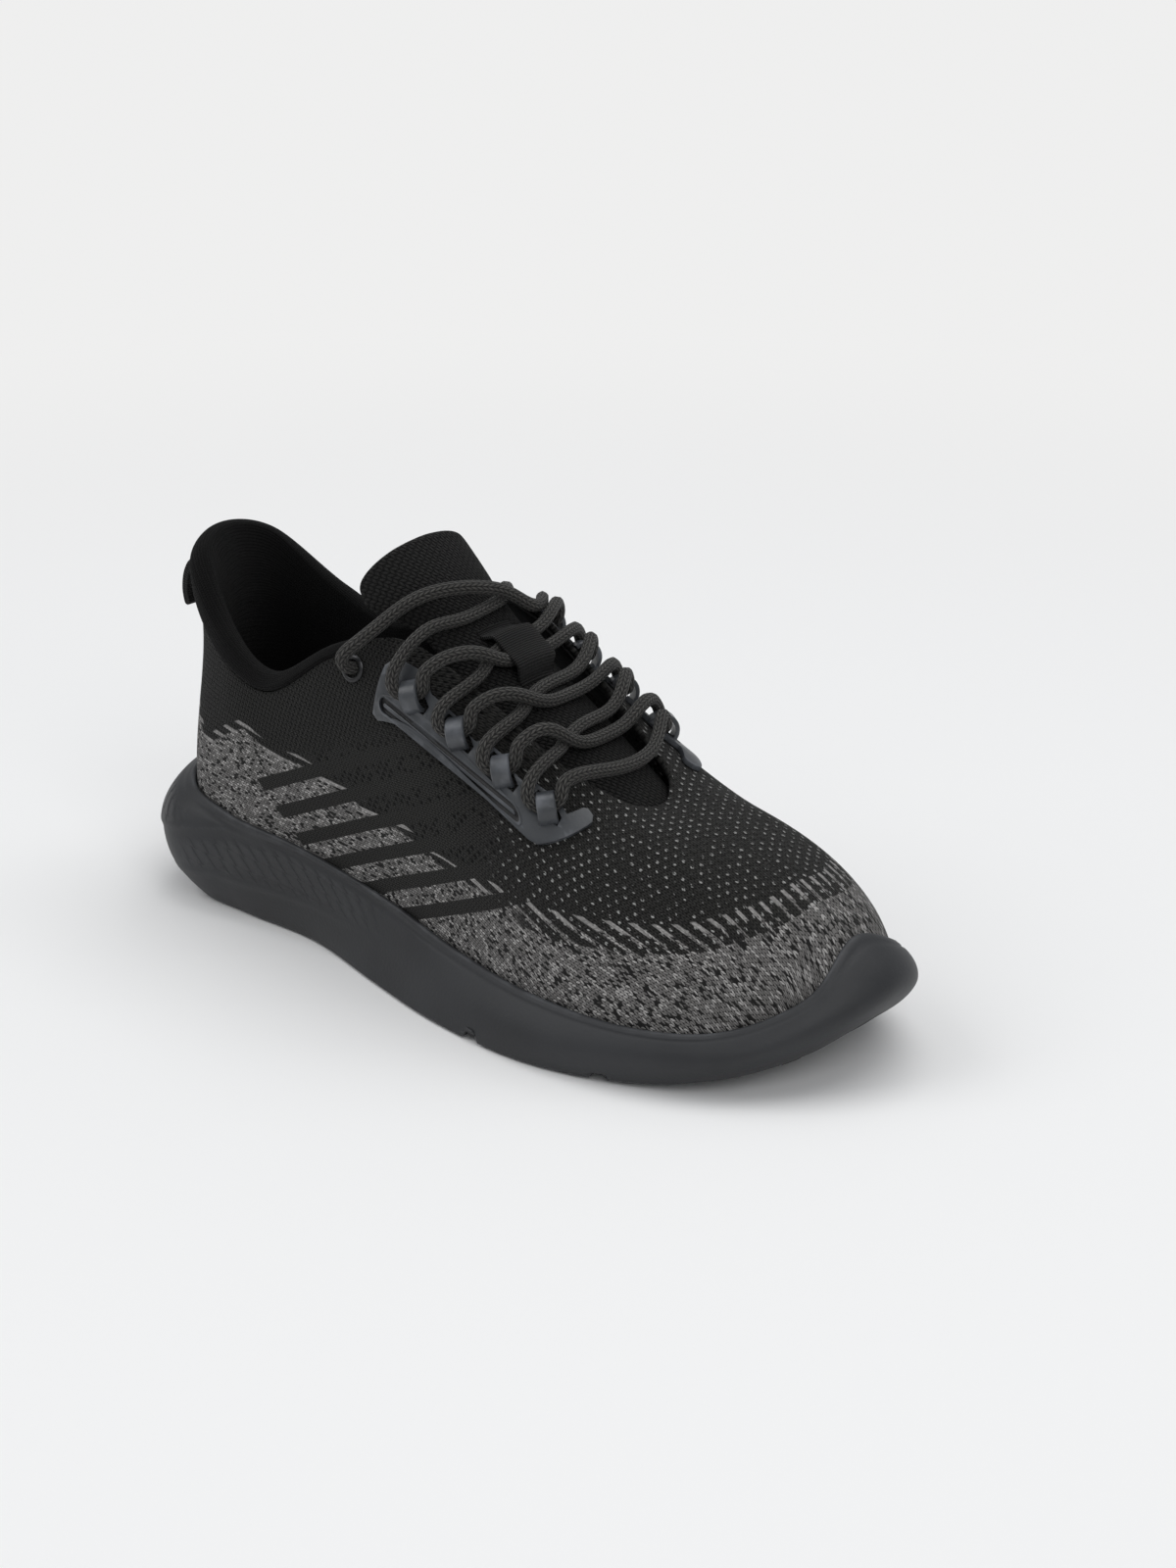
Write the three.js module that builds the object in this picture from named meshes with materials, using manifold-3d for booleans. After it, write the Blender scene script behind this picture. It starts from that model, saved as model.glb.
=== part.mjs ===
// Running shoe, right foot: a knit upper on a one-piece foam sole, laced through moulded plates.
// Millimetres. +X points to the toe, -Y to the outer side of the foot, +Z up.
import * as THREE from 'three';
import Module from 'manifold-3d';
import { mergeVertices } from 'three/addons/utils/BufferGeometryUtils.js';

const wasm = await Module();
wasm.setup();

// ---- Driving dimensions ----
const shoeLength = 298; // sole, heel to toe
const ballWidth = 118; // sole, across the ball of the foot
const collarHeight = 130; // floor to the top of the heel collar
const knitWall = 1.6; // knit upper
const stiffenerWall = 1.2; // heel counter, toe puff and eyestays
const foamWall = 4.5; // collar foam at its thickest
const foamEdge = 1.2; // and at its thin edges
const liningWall = 1; // collar lining
const boardThick = 2; // strobel board
const sockThick = 4; // sockliner
const padThick = 3; // outsole rubber
const tongueFaceThick = 1.5;
const tonguePadThick = 3;
const laceDiameter = 4.4;
const plateThick = 1.6;
const plateSeat = 0.45; // plate above the knit
const bridgeWidth = 6; // along the shoe
const bridgeWall = 1.5;
const windowLength = 14; // lace opening under each bridge
const windowWidth = 8.5;
const eyeletBore = 5.6;
const eyeletWall = 0.5;
const flangeWidth = 1.3;
const flangeThick = 0.8;
const tabWidth = 18; // heel pull tab
const tabThick = 2.6;
const strapWidth = 16; // lace keeper on the tongue
const strapThick = 1;
const fitGap = 0.3; // between parts that touch

// ---- The last: points drawn on a 298 x 118 x 130 shoe and graded to the sizes above ----
const drawnLength = 298;
const drawnWidth = 118;
const drawnHeight = 130;
const lengthGrade = shoeLength / drawnLength;
const widthGrade = ballWidth / drawnWidth;
const heightGrade = collarHeight / drawnHeight;

// Stations run from the heel centre along the outer side to the toe and back along the inner side.
// feather: where the upper turns under the foot. top: the topline or the throat edge.
// foot, head: the out and up handles of the upper's section at its bottom and its top.
// lip, bulge, ground: out from the feather and height, for the sole's wall.
const stations = [
  { feather: [-133, 0, 24], top: [-137, 1, 121], foot: [8, 36], head: [-13, 27],
    lip: [3, 46], bulge: [16, 26], ground: [-2, 4] },
  { feather: [-122, -26, 24], top: [-128, -20, 116], foot: [7, 34], head: [-9, 26],
    lip: [3, 42], bulge: [15, 24], ground: [2, 1] },
  { feather: [-97, -34, 23], top: [-104, -31, 98], foot: [4, 28], head: [0, 20],
    lip: [3, 38], bulge: [6, 20], ground: [-1, 1] },
  { feather: [-62, -35, 20], top: [-80, -33, 89], foot: [3, 25], head: [2, 18],
    lip: [3, 35], bulge: [3, 17], ground: [0, 1] },
  { feather: [-24, -37, 16], top: [-52, -32, 105], foot: [2, 30], head: [4, 20],
    lip: [3, 28], bulge: [6, 13], ground: [9, 1] },
  { feather: [14, -44, 13], top: [-26, -26, 113], foot: [2, 32], head: [12, 14],
    lip: [3, 22], bulge: [9, 11], ground: [12, 1] },
  { feather: [50, -50, 12], top: [4, -22, 100], foot: [2, 26], head: [16, 16],
    lip: [3, 20], bulge: [9, 10], ground: [9, 1] },
  { feather: [84, -47, 12], top: [32, -20, 84], foot: [3, 20], head: [22, 18],
    lip: [3, 19], bulge: [7, 11], ground: [4, 2] },
  { feather: [110, -35, 13], top: [48, -14, 75], foot: [3, 18], head: [28, 14],
    lip: [3, 21], bulge: [7, 14], ground: [2, 6] },
  { feather: [128, -15, 15], top: [55, -8, 71], foot: [5, 24], head: [40, 9],
    lip: [3, 30], bulge: [7, 22], ground: [-3, 10] },
  { feather: [134, 6, 17], top: [58, 0, 70], foot: [6, 28], head: [46, 6],
    lip: [3, 43], bulge: [9, 29], ground: [-6, 12] },
  { feather: [128, 26, 15], top: [55, 8, 72], foot: [7, 28], head: [46, 8],
    lip: [3, 32], bulge: [8, 22], ground: [-2, 10] },
  { feather: [104, 42, 13], top: [46, 15, 78], foot: [5, 25], head: [33, 14],
    lip: [3, 22], bulge: [7, 13], ground: [3, 5] },
  { feather: [66, 46, 12], top: [10, 22, 101], foot: [3, 28], head: [16, 16],
    lip: [3, 21], bulge: [8, 10], ground: [6, 1] },
  { feather: [26, 38, 14], top: [-22, 26, 116], foot: [2, 32], head: [12, 14],
    lip: [3, 24], bulge: [7, 12], ground: [6, 1] },
  { feather: [-18, 30, 18], top: [-50, 31, 107], foot: [2, 30], head: [4, 20],
    lip: [3, 31], bulge: [5, 15], ground: [5, 1] },
  { feather: [-58, 31, 22], top: [-78, 33, 92], foot: [3, 25], head: [2, 18],
    lip: [3, 36], bulge: [4, 18], ground: [1, 1] },
  { feather: [-95, 33, 24], top: [-103, 30, 100], foot: [4, 28], head: [0, 20],
    lip: [3, 39], bulge: [6, 21], ground: [0, 1] },
  { feather: [-121, 25, 24], top: [-128, 20, 117], foot: [7, 34], head: [-9, 26],
    lip: [3, 42], bulge: [15, 24], ground: [1, 1] },
];
const perStation = 3; // samples from one station to the next
const around = stations.length * perStation;
const up = 9; // samples up the section

function blend(values, t) {
  const n = values.length;
  const i = Math.floor(t);
  const f = t - i;
  const pick = (k) => values[(((i + k) % n) + n) % n];
  const [a, b, c, d] = [pick(-1), pick(0), pick(1), pick(2)];
  const mix = (p, q, r, s) => {
    const bend = 2 * p - 5 * q + 4 * r - s + f * (3 * (q - r) + s - p);
    return q + 0.5 * f * (r - p + f * bend);
  };
  return b.map((_, k) => mix(a[k], b[k], c[k], d[k]));
}

function graded([x, y, z]) {
  return new THREE.Vector3(x * lengthGrade, y * widthGrade, z * heightGrade);
}

const column = (key) => stations.map((s) => s[key]);
const station = (u) => u * stations.length;
const featherPoint = (u) => graded(blend(column('feather'), station(u)));
const topPoint = (u) => graded(blend(column('top'), station(u)));

function outward(u) {
  const step = 0.002;
  const along = featherPoint(u + step).sub(featherPoint(u - step));
  return new THREE.Vector3(along.y, -along.x, 0).normalize();
}

// A point on the outside of the upper: u round the shoe, v up the section.
function skin(u, v) {
  const bottom = featherPoint(u);
  const top = topPoint(u);
  const out = outward(u);
  const foot = blend(column('foot'), station(u));
  const head = blend(column('head'), station(u));
  const p1 = bottom.clone().addScaledVector(out, foot[0]);
  p1.z += foot[1] * heightGrade;
  const p2 = top.clone().addScaledVector(out, head[0]);
  p2.z -= head[1] * heightGrade;
  return new THREE.CubicBezierCurve3(bottom, p1, p2, top).getPoint(v);
}

function skinNormal(u, v) {
  const d = 0.004;
  const lo = Math.max(0, v - d);
  const hi = Math.min(1, v + d);
  const a = skin(u + d, v).sub(skin(u - d, v));
  const b = skin(u, hi).sub(skin(u, lo));
  return a.cross(b).normalize();
}

const upperPoint = (u, v, offset) => skin(u, v).addScaledVector(skinNormal(u, v), offset);

// ---- Closed meshes from grids of points ----
function closedMesh(points, triangles) {
  const geometry = new THREE.BufferGeometry();
  const numbers = points.flatMap((p) => [p.x, p.y, p.z]);
  geometry.setAttribute('position', new THREE.Float32BufferAttribute(numbers, 3));
  geometry.setIndex(triangles);
  const merged = mergeVertices(geometry, 1e-4);
  const index = [];
  const old = merged.index.array;
  for (let i = 0; i < old.length; i += 3) {
    const [a, b, c] = [old[i], old[i + 1], old[i + 2]];
    if (a !== b && b !== c && c !== a) index.push(a, b, c);
  }
  merged.setIndex(facingOut(merged.attributes.position, index));
  return merged;
}

function facingOut(position, index) {
  const [a, b, c] = [new THREE.Vector3(), new THREE.Vector3(), new THREE.Vector3()];
  let volume = 0;
  for (let i = 0; i < index.length; i += 3) {
    a.fromBufferAttribute(position, index[i]);
    b.fromBufferAttribute(position, index[i + 1]);
    c.fromBufferAttribute(position, index[i + 2]);
    volume += a.dot(b.cross(c));
  }
  return volume > 0 ? index : index.reverse();
}

// Two faces of a sheet, grids [i][j] of points; ring: the sheet closes on itself in i.
function sheet(front, back, ring = false) {
  const rows = front.length;
  const cols = front[0].length;
  const points = [...front.flat(), ...back.flat()];
  const at = (side, i, j) => side * rows * cols + (i % rows) * cols + j;
  const tri = [];
  const quad = (a, b, c, d) => tri.push(a, b, c, a, c, d);
  const last = ring ? rows : rows - 1;
  for (let i = 0; i < last; i++) {
    for (let j = 0; j < cols - 1; j++) {
      quad(at(0, i, j), at(0, i + 1, j), at(0, i + 1, j + 1), at(0, i, j + 1));
      quad(at(1, i, j), at(1, i, j + 1), at(1, i + 1, j + 1), at(1, i + 1, j));
    }
    quad(at(0, i, 0), at(1, i, 0), at(1, i + 1, 0), at(0, i + 1, 0));
    quad(at(0, i, cols - 1), at(0, i + 1, cols - 1), at(1, i + 1, cols - 1), at(1, i, cols - 1));
  }
  if (!ring) {
    for (let j = 0; j < cols - 1; j++) {
      quad(at(0, 0, j), at(0, 0, j + 1), at(1, 0, j + 1), at(1, 0, j));
      quad(at(0, rows - 1, j), at(1, rows - 1, j), at(1, rows - 1, j + 1), at(0, rows - 1, j + 1));
    }
  }
  return closedMesh(points, tri);
}

// Loops stacked from bottom to top, each closed across by joining its outer side to its inner side.
function stack(loops) {
  const n = loops[0].length;
  const tri = [];
  const quad = (a, b, c, d) => tri.push(a, b, c, a, c, d);
  for (let k = 0; k < loops.length - 1; k++) {
    for (let i = 0; i < n; i++) {
      const j = (i + 1) % n;
      quad(k * n + i, k * n + j, (k + 1) * n + j, (k + 1) * n + i);
    }
  }
  const top = (loops.length - 1) * n;
  for (let i = 0; i < n / 2; i++) {
    const [a, b, c, d] = [i, i + 1, n - i - 1, (n - i) % n];
    quad(a, d, c, b);
    quad(top + a, top + b, top + c, top + d);
  }
  return closedMesh(loops.flat(), tri);
}

function solid(geometry) {
  const position = new Float32Array(geometry.attributes.position.array);
  const index = new Uint32Array(geometry.index.array);
  return new wasm.Manifold(new wasm.Mesh({ numProp: 3, vertProperties: position, triVerts: index }));
}

function geometryOf(manifold) {
  const mesh = manifold.getMesh();
  const geometry = new THREE.BufferGeometry();
  geometry.setAttribute('position', new THREE.BufferAttribute(new Float32Array(mesh.vertProperties), 3));
  geometry.setIndex(new THREE.BufferAttribute(new Uint32Array(mesh.triVerts), 1));
  return geometry;
}

const range = (n) => [...Array(n).keys()];
const cutThrough = 12; // length of a cutter that has to pass the wall
const loopAt = (point) => range(around).map((i) => point(i / around));

// ---- Sole ----
const foamLift = 1; // the foam's lower edge above the rubber's tread, on the drawn shoe

function groundValues(u) {
  const [out, z] = blend(column('ground'), station(u));
  return [out, Math.max(foamLift, z)];
}

function soleLoops() {
  const from = (u, [out, z]) => {
    const p = featherPoint(u).addScaledVector(outward(u), out);
    p.z = z * heightGrade;
    return p;
  };
  const values = (key, u) => blend(column(key), station(u));
  const wall = (u, t) => {
    const low = from(u, groundValues(u));
    const mid = from(u, values('bulge', u));
    const high = from(u, values('lip', u));
    const reach = mid.clone().multiplyScalar(2).sub(low.clone().add(high).multiplyScalar(0.5));
    return new THREE.QuadraticBezierCurve3(low, reach, high).getPoint(t);
  };
  return [0, 0.12, 0.35, 0.6, 0.85, 1].map((t) => loopAt((u) => wall(u, t)));
}

// The space that the upper takes, sunk by the gap so that the upper's edge clears the deck.
function lastBody(offset) {
  const lowered = loopAt((u) => upperPoint(u, 0, offset).setZ(featherPoint(u).z - offset));
  const heights = range(6).map((k) => (k + 1) / up);
  return stack([lowered, ...heights.map((v) => loopAt((u) => upperPoint(u, v, offset)))]);
}

// Rubber pads: spans of stations along the shoe and of fractions across it, from outer to inner side.
const pads = [
  { name: 'outsole_heel_lateral', along: [0.7, 3.1], across: [0.05, 0.42] },
  { name: 'outsole_heel_medial', along: [0.7, 3.1], across: [0.58, 0.95] },
  { name: 'outsole_shank_lateral', along: [3.9, 5.15], across: [0.05, 0.34] },
  { name: 'outsole_ball_lateral', along: [5.45, 6.7], across: [0.05, 0.47] },
  { name: 'outsole_ball_medial', along: [5.45, 6.7], across: [0.53, 0.95] },
  { name: 'outsole_toe', along: [7, 8.7], across: [0.07, 0.93] },
];
const grooves = [28, 76]; // flex grooves across the forefoot, distance from mid-length
const grooveWidth = 5;
const grooveDepth = 3;
const toeStation = 10;
const innerShare = (stations.length - toeStation) / toeStation;

function groundPoint(u) {
  const [out, z] = groundValues(u);
  const p = featherPoint(u).addScaledVector(outward(u), out);
  p.z = z * heightGrade;
  return p;
}

function soleSpot(s, t) {
  const outer = groundPoint(s / stations.length);
  const inner = groundPoint(1 - (s * innerShare) / stations.length);
  return outer.lerp(inner, t);
}

function padSolid({ along, across }, grow, bottom, top) {
  const rows = 5;
  const cols = 2;
  const mmAlong = soleSpot(along[0], 0.5).distanceTo(soleSpot(along[1], 0.5));
  const mmAcross = soleSpot(along[0], across[0]).distanceTo(soleSpot(along[0], across[1]));
  const growS = (grow / mmAlong) * (along[1] - along[0]);
  const growT = (grow / mmAcross) * (across[1] - across[0]);
  const face = (z) => range(rows + 1).map((i) => range(cols + 1).map((j) => {
    const s = along[0] - growS + ((along[1] - along[0] + 2 * growS) * i) / rows;
    const t = across[0] - growT + ((across[1] - across[0] + 2 * growT) * j) / cols;
    const p = soleSpot(s, t);
    p.z += z;
    return p;
  }));
  return sheet(face(bottom), face(top));
}

const groundLift = foamLift * heightGrade;
const padBottom = -groundLift;

function makeMidsole() {
  let body = solid(stack(soleLoops())).subtract(solid(lastBody(fitGap)));
  for (const pad of pads) {
    body = body.subtract(solid(padSolid(pad, fitGap * 3, padBottom - 2, padBottom + padThick + 2 * fitGap)));
  }
  for (const x of grooves) {
    const groove = new THREE.BoxGeometry(grooveWidth, ballWidth * 2, grooveDepth * 2);
    groove.translate(x * lengthGrade, 0, groundLift);
    body = body.subtract(solid(closedBox(groove)));
  }
  return geometryOf(body);
}

function closedBox(geometry) {
  const plain = geometry.clone();
  plain.deleteAttribute('normal');
  plain.deleteAttribute('uv');
  return mergeVertices(plain, 1e-4);
}

// ---- Inside the shoe ----
function slab(inset, z0, z1) {
  const loop = (z) => loopAt((u) => {
    const p = featherPoint(u).addScaledVector(outward(u), -inset);
    p.z += z;
    return p;
  });
  return stack([loop(z0), loop(z1)]);
}

// A sheet that follows the upper between two stations. Its rungs up the section are the upper's own,
// so that the two nest.
function skinSheet([s0, s1], rungs, from, to) {
  const rows = Math.round((s1 - s0) * perStation);
  const face = (offset) => range(rows + 1).map((i) => rungs.map((rung) => {
    const s = s0 + ((s1 - s0) * i) / rows;
    const v = rung / up;
    const d = typeof offset === 'function' ? offset(s, v) : offset;
    return upperPoint(s / stations.length, v, d);
  }));
  return sheet(face(from), face(to));
}

const behindKnit = -(knitWall + fitGap);
const collarSpan = [-11 / 3, 11 / 3]; // stations either side of the heel
const counterSpan = [-3, 3];
const counterRungs = [1, 2, 3, 4];
const puffSpan = [26 / 3, 34 / 3];
const puffRungs = [1, 2, 3];
const foamRungs = [5, 6, 7, 8, 8.7];
const liningRungs = [1.5, 3, 4, ...foamRungs, 9];
const eyestayRungs = [6, 7, 8, 8.7];

// Foam thickness: full at the back of the collar, thin at its front ends and its lower edge.
function foamAt(s, v) {
  const round = Math.cos((s / (collarSpan[1] + 0.5)) * (Math.PI / 2));
  const swell = Math.sin(Math.PI * Math.min(1, Math.max(0, (v - 0.4) / 0.9)));
  return foamEdge + (foamWall - foamEdge) * round * swell;
}

function liningBack(s, v) {
  return behindKnit - foamAt(s, v) - fitGap;
}

// The lining climbs the inside of the collar and rolls over the foam to the knit's edge.
function makeCollarLining() {
  const turns = 4;
  const rollEnd = (150 * Math.PI) / 180;
  const rows = Math.round((collarSpan[1] - collarSpan[0]) * perStation);
  const face = (lift) => range(rows + 1).map((i) => {
    const s = collarSpan[0] + ((collarSpan[1] - collarSpan[0]) * i) / rows;
    const u = s / stations.length;
    const line = liningRungs.map((rung) => upperPoint(u, rung / up, liningBack(s, rung / up) - lift));
    const radius = -liningBack(s, 1) / 2;
    const normal = skinNormal(u, 1);
    const rise = skin(u, 1).sub(skin(u, 0.98)).normalize();
    const centre = upperPoint(u, 1, -radius);
    const roll = range(turns).map((k) => {
      const angle = (rollEnd * (k + 1)) / turns;
      const reach = radius + lift;
      return centre.clone()
        .addScaledVector(normal, -Math.cos(angle) * reach)
        .addScaledVector(rise, Math.sin(angle) * reach);
    });
    return [...line, ...roll];
  });
  return sheet(face(0), face(liningWall));
}

// ---- Tongue ----
// Centre line from under the vamp to the top: length along the shoe, half width, height.
const tongueLine = [
  [66, 14, 55], [50, 17, 70], [28, 20, 88], [2, 21, 105],
  [-18, 22, 121], [-26, 27, 129], [-33, 28, 136], [-38, 16, 141],
];
const tongueRadius = 34; // across
const tongueCurve = new THREE.CatmullRomCurve3(tongueLine.map(graded));
const tongueFold = 5 / (tongueLine.length - 1); // the flap starts here

function tonguePoint(s, a, lift) {
  const p = tongueCurve.getPoint(s);
  const step = 0.01;
  const along = tongueCurve.getPoint(Math.min(1, s + step));
  along.sub(tongueCurve.getPoint(Math.max(0, s - step)));
  along.y = 0;
  along.normalize();
  const angle = a * Math.asin(Math.min(1, p.y / tongueRadius));
  const [sin, cos] = [Math.sin(angle), Math.cos(angle)];
  const radial = new THREE.Vector3(along.z * cos, sin, -along.x * cos);
  const centre = new THREE.Vector3(p.x - along.z * tongueRadius, 0, p.z + along.x * tongueRadius);
  return centre.addScaledVector(radial, tongueRadius + lift);
}

function tongueSheet(s0, s1, top, bottom, rows) {
  const cols = 6;
  const face = (lift) => range(rows + 1).map((i) => range(cols + 1).map((j) => {
    return tonguePoint(s0 + ((s1 - s0) * i) / rows, (2 * j) / cols - 1, lift);
  }));
  return sheet(face(top), face(bottom));
}

const foldGap = 0.0022; // half the slit at the fold, as a share of the tongue's length
const padTop = -(tongueFaceThick + fitGap);

// The keeper: a webbing arch along the tongue with room for two lace runs side by side.
function makeTongueLoop() {
  const line = [ // share of the tongue's length, height over its face
    [0.39, 0.3], [0.397, 0.6], [0.403, 3], [0.41, 5.6], [0.445, 6],
    [0.48, 5.6], [0.49, 3], [0.5, 0.5], [0.512, 0.3],
  ];
  const halfAngle = Math.asin(tongueLine[3][1] / tongueRadius); // of the tongue under the strap
  const half = strapWidth / 2 / tongueRadius / halfAngle;
  const cols = 4;
  const face = (thick) => line.map(([s, lift]) => range(cols + 1).map((j) => {
    return tonguePoint(s, ((2 * j) / cols - 1) * half, lift + thick);
  }));
  return sheet(face(0), face(strapThick));
}

// ---- Lace plates ----
const plates = {
  lateral: {
    edge: [[4.68, 0.67], [5.7, 0.645], [6.75, 0.62]], // lower edge: station, height
    throat: [[5.08, 0.93], [6.3, 0.93], [7.72, 0.9]],
    bridges: [[5.25, 0.79], [5.8, 0.785], [6.36, 0.79], [6.93, 0.8]],
    eyelet: [4.35, 0.88],
  },
  medial: {
    edge: [[14.32, 0.67], [13.3, 0.645], [12.45, 0.62]],
    throat: [[13.95, 0.93], [12.9, 0.93], [11.75, 0.9]],
    bridges: [[13.85, 0.83], [13.38, 0.82], [12.93, 0.82], [12.53, 0.82]],
    eyelet: [14.65, 0.88],
  },
};

// Axes on the skin: x along the shoe, y towards the throat, z out.
function skinFrame([s, v], lift = 0) {
  const u = s / stations.length;
  const normal = skinNormal(u, v);
  const rise = skin(u, Math.min(1, v + 0.01)).sub(skin(u, v - 0.01)).normalize();
  const along = rise.clone().cross(normal).normalize();
  const origin = upperPoint(u, v, lift);
  return new THREE.Matrix4().makeBasis(along, rise, normal).setPosition(origin);
}

function placed(geometry, matrix) {
  const moved = closedBox(geometry);
  moved.applyMatrix4(matrix);
  return moved;
}

function archSolid(width, span, height, wall) {
  const shape = new THREE.Shape();
  const half = span / 2;
  const corner = 2;
  shape.moveTo(-half, 0);
  shape.lineTo(-half, height - corner);
  shape.quadraticCurveTo(-half, height, -half + corner, height);
  shape.lineTo(half - corner, height);
  shape.quadraticCurveTo(half, height, half, height - corner);
  shape.lineTo(half, 0);
  shape.lineTo(half - wall, 0);
  shape.lineTo(half - wall, height - wall);
  shape.lineTo(-half + wall, height - wall);
  shape.lineTo(-half + wall, 0);
  const arch = new THREE.ExtrudeGeometry(shape, { depth: width, bevelEnabled: false, curveSegments: 3 });
  arch.translate(0, 0, -width / 2);
  arch.rotateY(Math.PI / 2);
  arch.rotateX(Math.PI / 2);
  return arch;
}

const bridgeFoot = 0.6; // where an arch starts, inside the plate's thickness
const bridgeOverlap = 0.2; // of each arch leg with its window's edge
const laceRoom = 0.5; // between lace and bridge
const laceLift = fitGap + laceDiameter / 2 + 0.2;
const bridgeSpan = windowWidth + 2 * (bridgeWall - bridgeOverlap);
const bridgeHeight = laceLift + laceDiameter / 2 + laceRoom + bridgeWall;

function makePlate({ edge, throat, bridges }) {
  const rows = 12;
  const cols = 4;
  const along = (line, t) => {
    const k = Math.min(line.length - 2, Math.floor(t * (line.length - 1)));
    const f = t * (line.length - 1) - k;
    return [0, 1].map((c) => line[k][c] * (1 - f) + line[k + 1][c] * f);
  };
  const face = (lift) => range(rows + 1).map((i) => range(cols + 1).map((j) => {
    const low = along(edge, i / rows);
    const high = along(throat, i / rows);
    const [s, v] = [0, 1].map((c) => low[c] + ((high[c] - low[c]) * j) / cols);
    return upperPoint(s / stations.length, v, lift);
  }));
  let body = solid(sheet(face(plateSeat), face(plateSeat + plateThick)));
  for (const spot of bridges) {
    const opening = new THREE.BoxGeometry(windowLength, windowWidth, cutThrough);
    body = body.subtract(solid(placed(opening, skinFrame(spot))));
  }
  for (const spot of bridges) {
    const arch = archSolid(bridgeWidth, bridgeSpan, bridgeHeight - bridgeFoot, bridgeWall);
    body = body.add(solid(placed(arch, skinFrame(spot, bridgeFoot))));
  }
  return geometryOf(body);
}

function makeKnitUpper() {
  const line = (u, offset) => range(up + 1).map((j) => upperPoint(u, j / up, offset));
  const face = (offset) => range(around).map((i) => line(i / around, offset));
  let body = solid(sheet(face(0), face(-knitWall), true));
  for (const side of Object.values(plates)) {
    const hole = new THREE.CylinderGeometry(holeRadius, holeRadius, cutThrough, ringSides);
    hole.rotateX(Math.PI / 2);
    body = body.subtract(solid(placed(hole, skinFrame(side.eyelet))));
  }
  return geometryOf(body);
}

// ---- Eyelets ----
const barrelRadius = eyeletBore / 2 + eyeletWall;
const holeRadius = barrelRadius + fitGap;
const ringSides = 12;
const barrelBelow = 0.6; // how far the barrel passes the knit

function turned(profile) {
  const points = profile.map(([r, z]) => new THREE.Vector2(r, z));
  return new THREE.LatheGeometry(points, ringSides).rotateX(Math.PI / 2);
}

function makeEyelet(spot) {
  const bore = eyeletBore / 2;
  const flange = barrelRadius + flangeWidth;
  const seat = fitGap + 0.2;
  const depth = -(knitWall + barrelBelow);
  const profile = [[bore, depth], [barrelRadius, depth], [barrelRadius, seat], [flange, seat],
    [flange, seat + flangeThick], [bore, seat + flangeThick], [bore, depth]];
  return placed(turned(profile), skinFrame(spot));
}

function makeWasher(spot) {
  const bottom = -(knitWall + 2 * fitGap + flangeThick);
  const top = bottom + flangeThick;
  const rim = holeRadius + flangeWidth;
  const profile = [[holeRadius, bottom], [rim, bottom], [rim, top], [holeRadius, top], [holeRadius, bottom]];
  return placed(turned(profile), skinFrame(spot));
}

// ---- Lace ----
// A point over the tongue: x along the shoe, y across it, lifted off the tongue's face.
function overTongue(x, y, lift) {
  const at = (s) => {
    const half = Math.asin(Math.min(1, tongueCurve.getPoint(s).y / tongueRadius));
    return tonguePoint(s, Math.asin((y * widthGrade) / (tongueRadius + lift)) / half, lift);
  };
  let [low, high] = [0, 1];
  for (let i = 0; i < 30; i++) {
    const mid = (low + high) / 2;
    if (at(mid).x > x * lengthGrade) low = mid;
    else high = mid;
  }
  return at(low);
}

// Under a bridge, from its heel side to its toe side: along the shoe, towards the throat, off the skin.
const underBridge = [
  [-5.6, 6.5, 7.3], [-5.7, 2.4, 5], [-3.4, 0.2, 2.8], [0, 0, 2.7],
  [3.4, 0.2, 2.8], [5.7, 2.4, 5], [5.6, 6.5, 7.3],
];

function bridgeRun(side, k) {
  const frame = skinFrame(plates[side].bridges[k]);
  const toward = frame.elements[0] > 0 ? 1 : -1;
  return underBridge.map(([x, y, z]) => new THREE.Vector3(x * toward, y, z).applyMatrix4(frame));
}

// The two runs between one pair of bridges and the next, from the outer side to the inner.
const upperRun = [
  [-0.6, -20, 9.5], [0.8, -16, 7.3], [2.2, -12.5, 4.9], [2.7, -8, 2.9],
  [2.7, 5, 2.8], [2.7, 13, 4.4], [3.2, 19, 8],
];
const lowerRun = [
  [1.8, -20, 4.9], [-0.8, -16, 2.8], [-2.2, -12.5, 2.7], [-2.7, -8, 2.7],
  [-2.7, 5, 2.8], [-2.7, 13, 4.4], [-3.2, 19, 8],
];
const middles = [0.3, 16, 31]; // where each pair crosses the tongue
const edgeRise = [0.9, 1.4, 3]; // more lift over the throat's edges, further from the ankle
const edgeAt = 18; // from the centre line
const runAt = (run, k) => run.map(([x, y, z]) => {
  return overTongue(middles[k] + x, y, z + (Math.abs(y) > edgeAt ? edgeRise[k] : 0));
});
const bottomBar = [[44, 16, 8.5], [46, 7, 6], [46, -4, 5.5], [44, -16, 8.5]];
const topRun = { // from the top bridge to the eyelet on the other side
  lateral: [
    [-9, 23, 9.5], [-6.5, 17, 7], [-10.5, 8.5, 8], [-13, 0, 7.6],
    [-18, -9, 6.5], [-26, -19, 4], [-34, -27, 4],
  ],
  medial: [
    [-16, -22, 7], [-14.5, -16, 3.5], [-13, -8, 2.7], [-13, 1, 2.7],
    [-15, 11, 2.9], [-21, 20, 3], [-33, 28, 4],
  ],
};
const intoEyelet = [[0, 3, 7], [0, 0.3, 3.6], [0, 0, 0], [0, 0, -4]]; // in the eyelet's axes
// The end inside the shoe: mm along the collar, height on the skin.
const tail = [[4, 0.8], [8, 0.74], [14, 0.66], [22, 0.58], [31, 0.5], [40, 0.45]];
const tailDepth = -9;
const stationSpacing = 36; // mm of skin between stations at the eyelets

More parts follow.
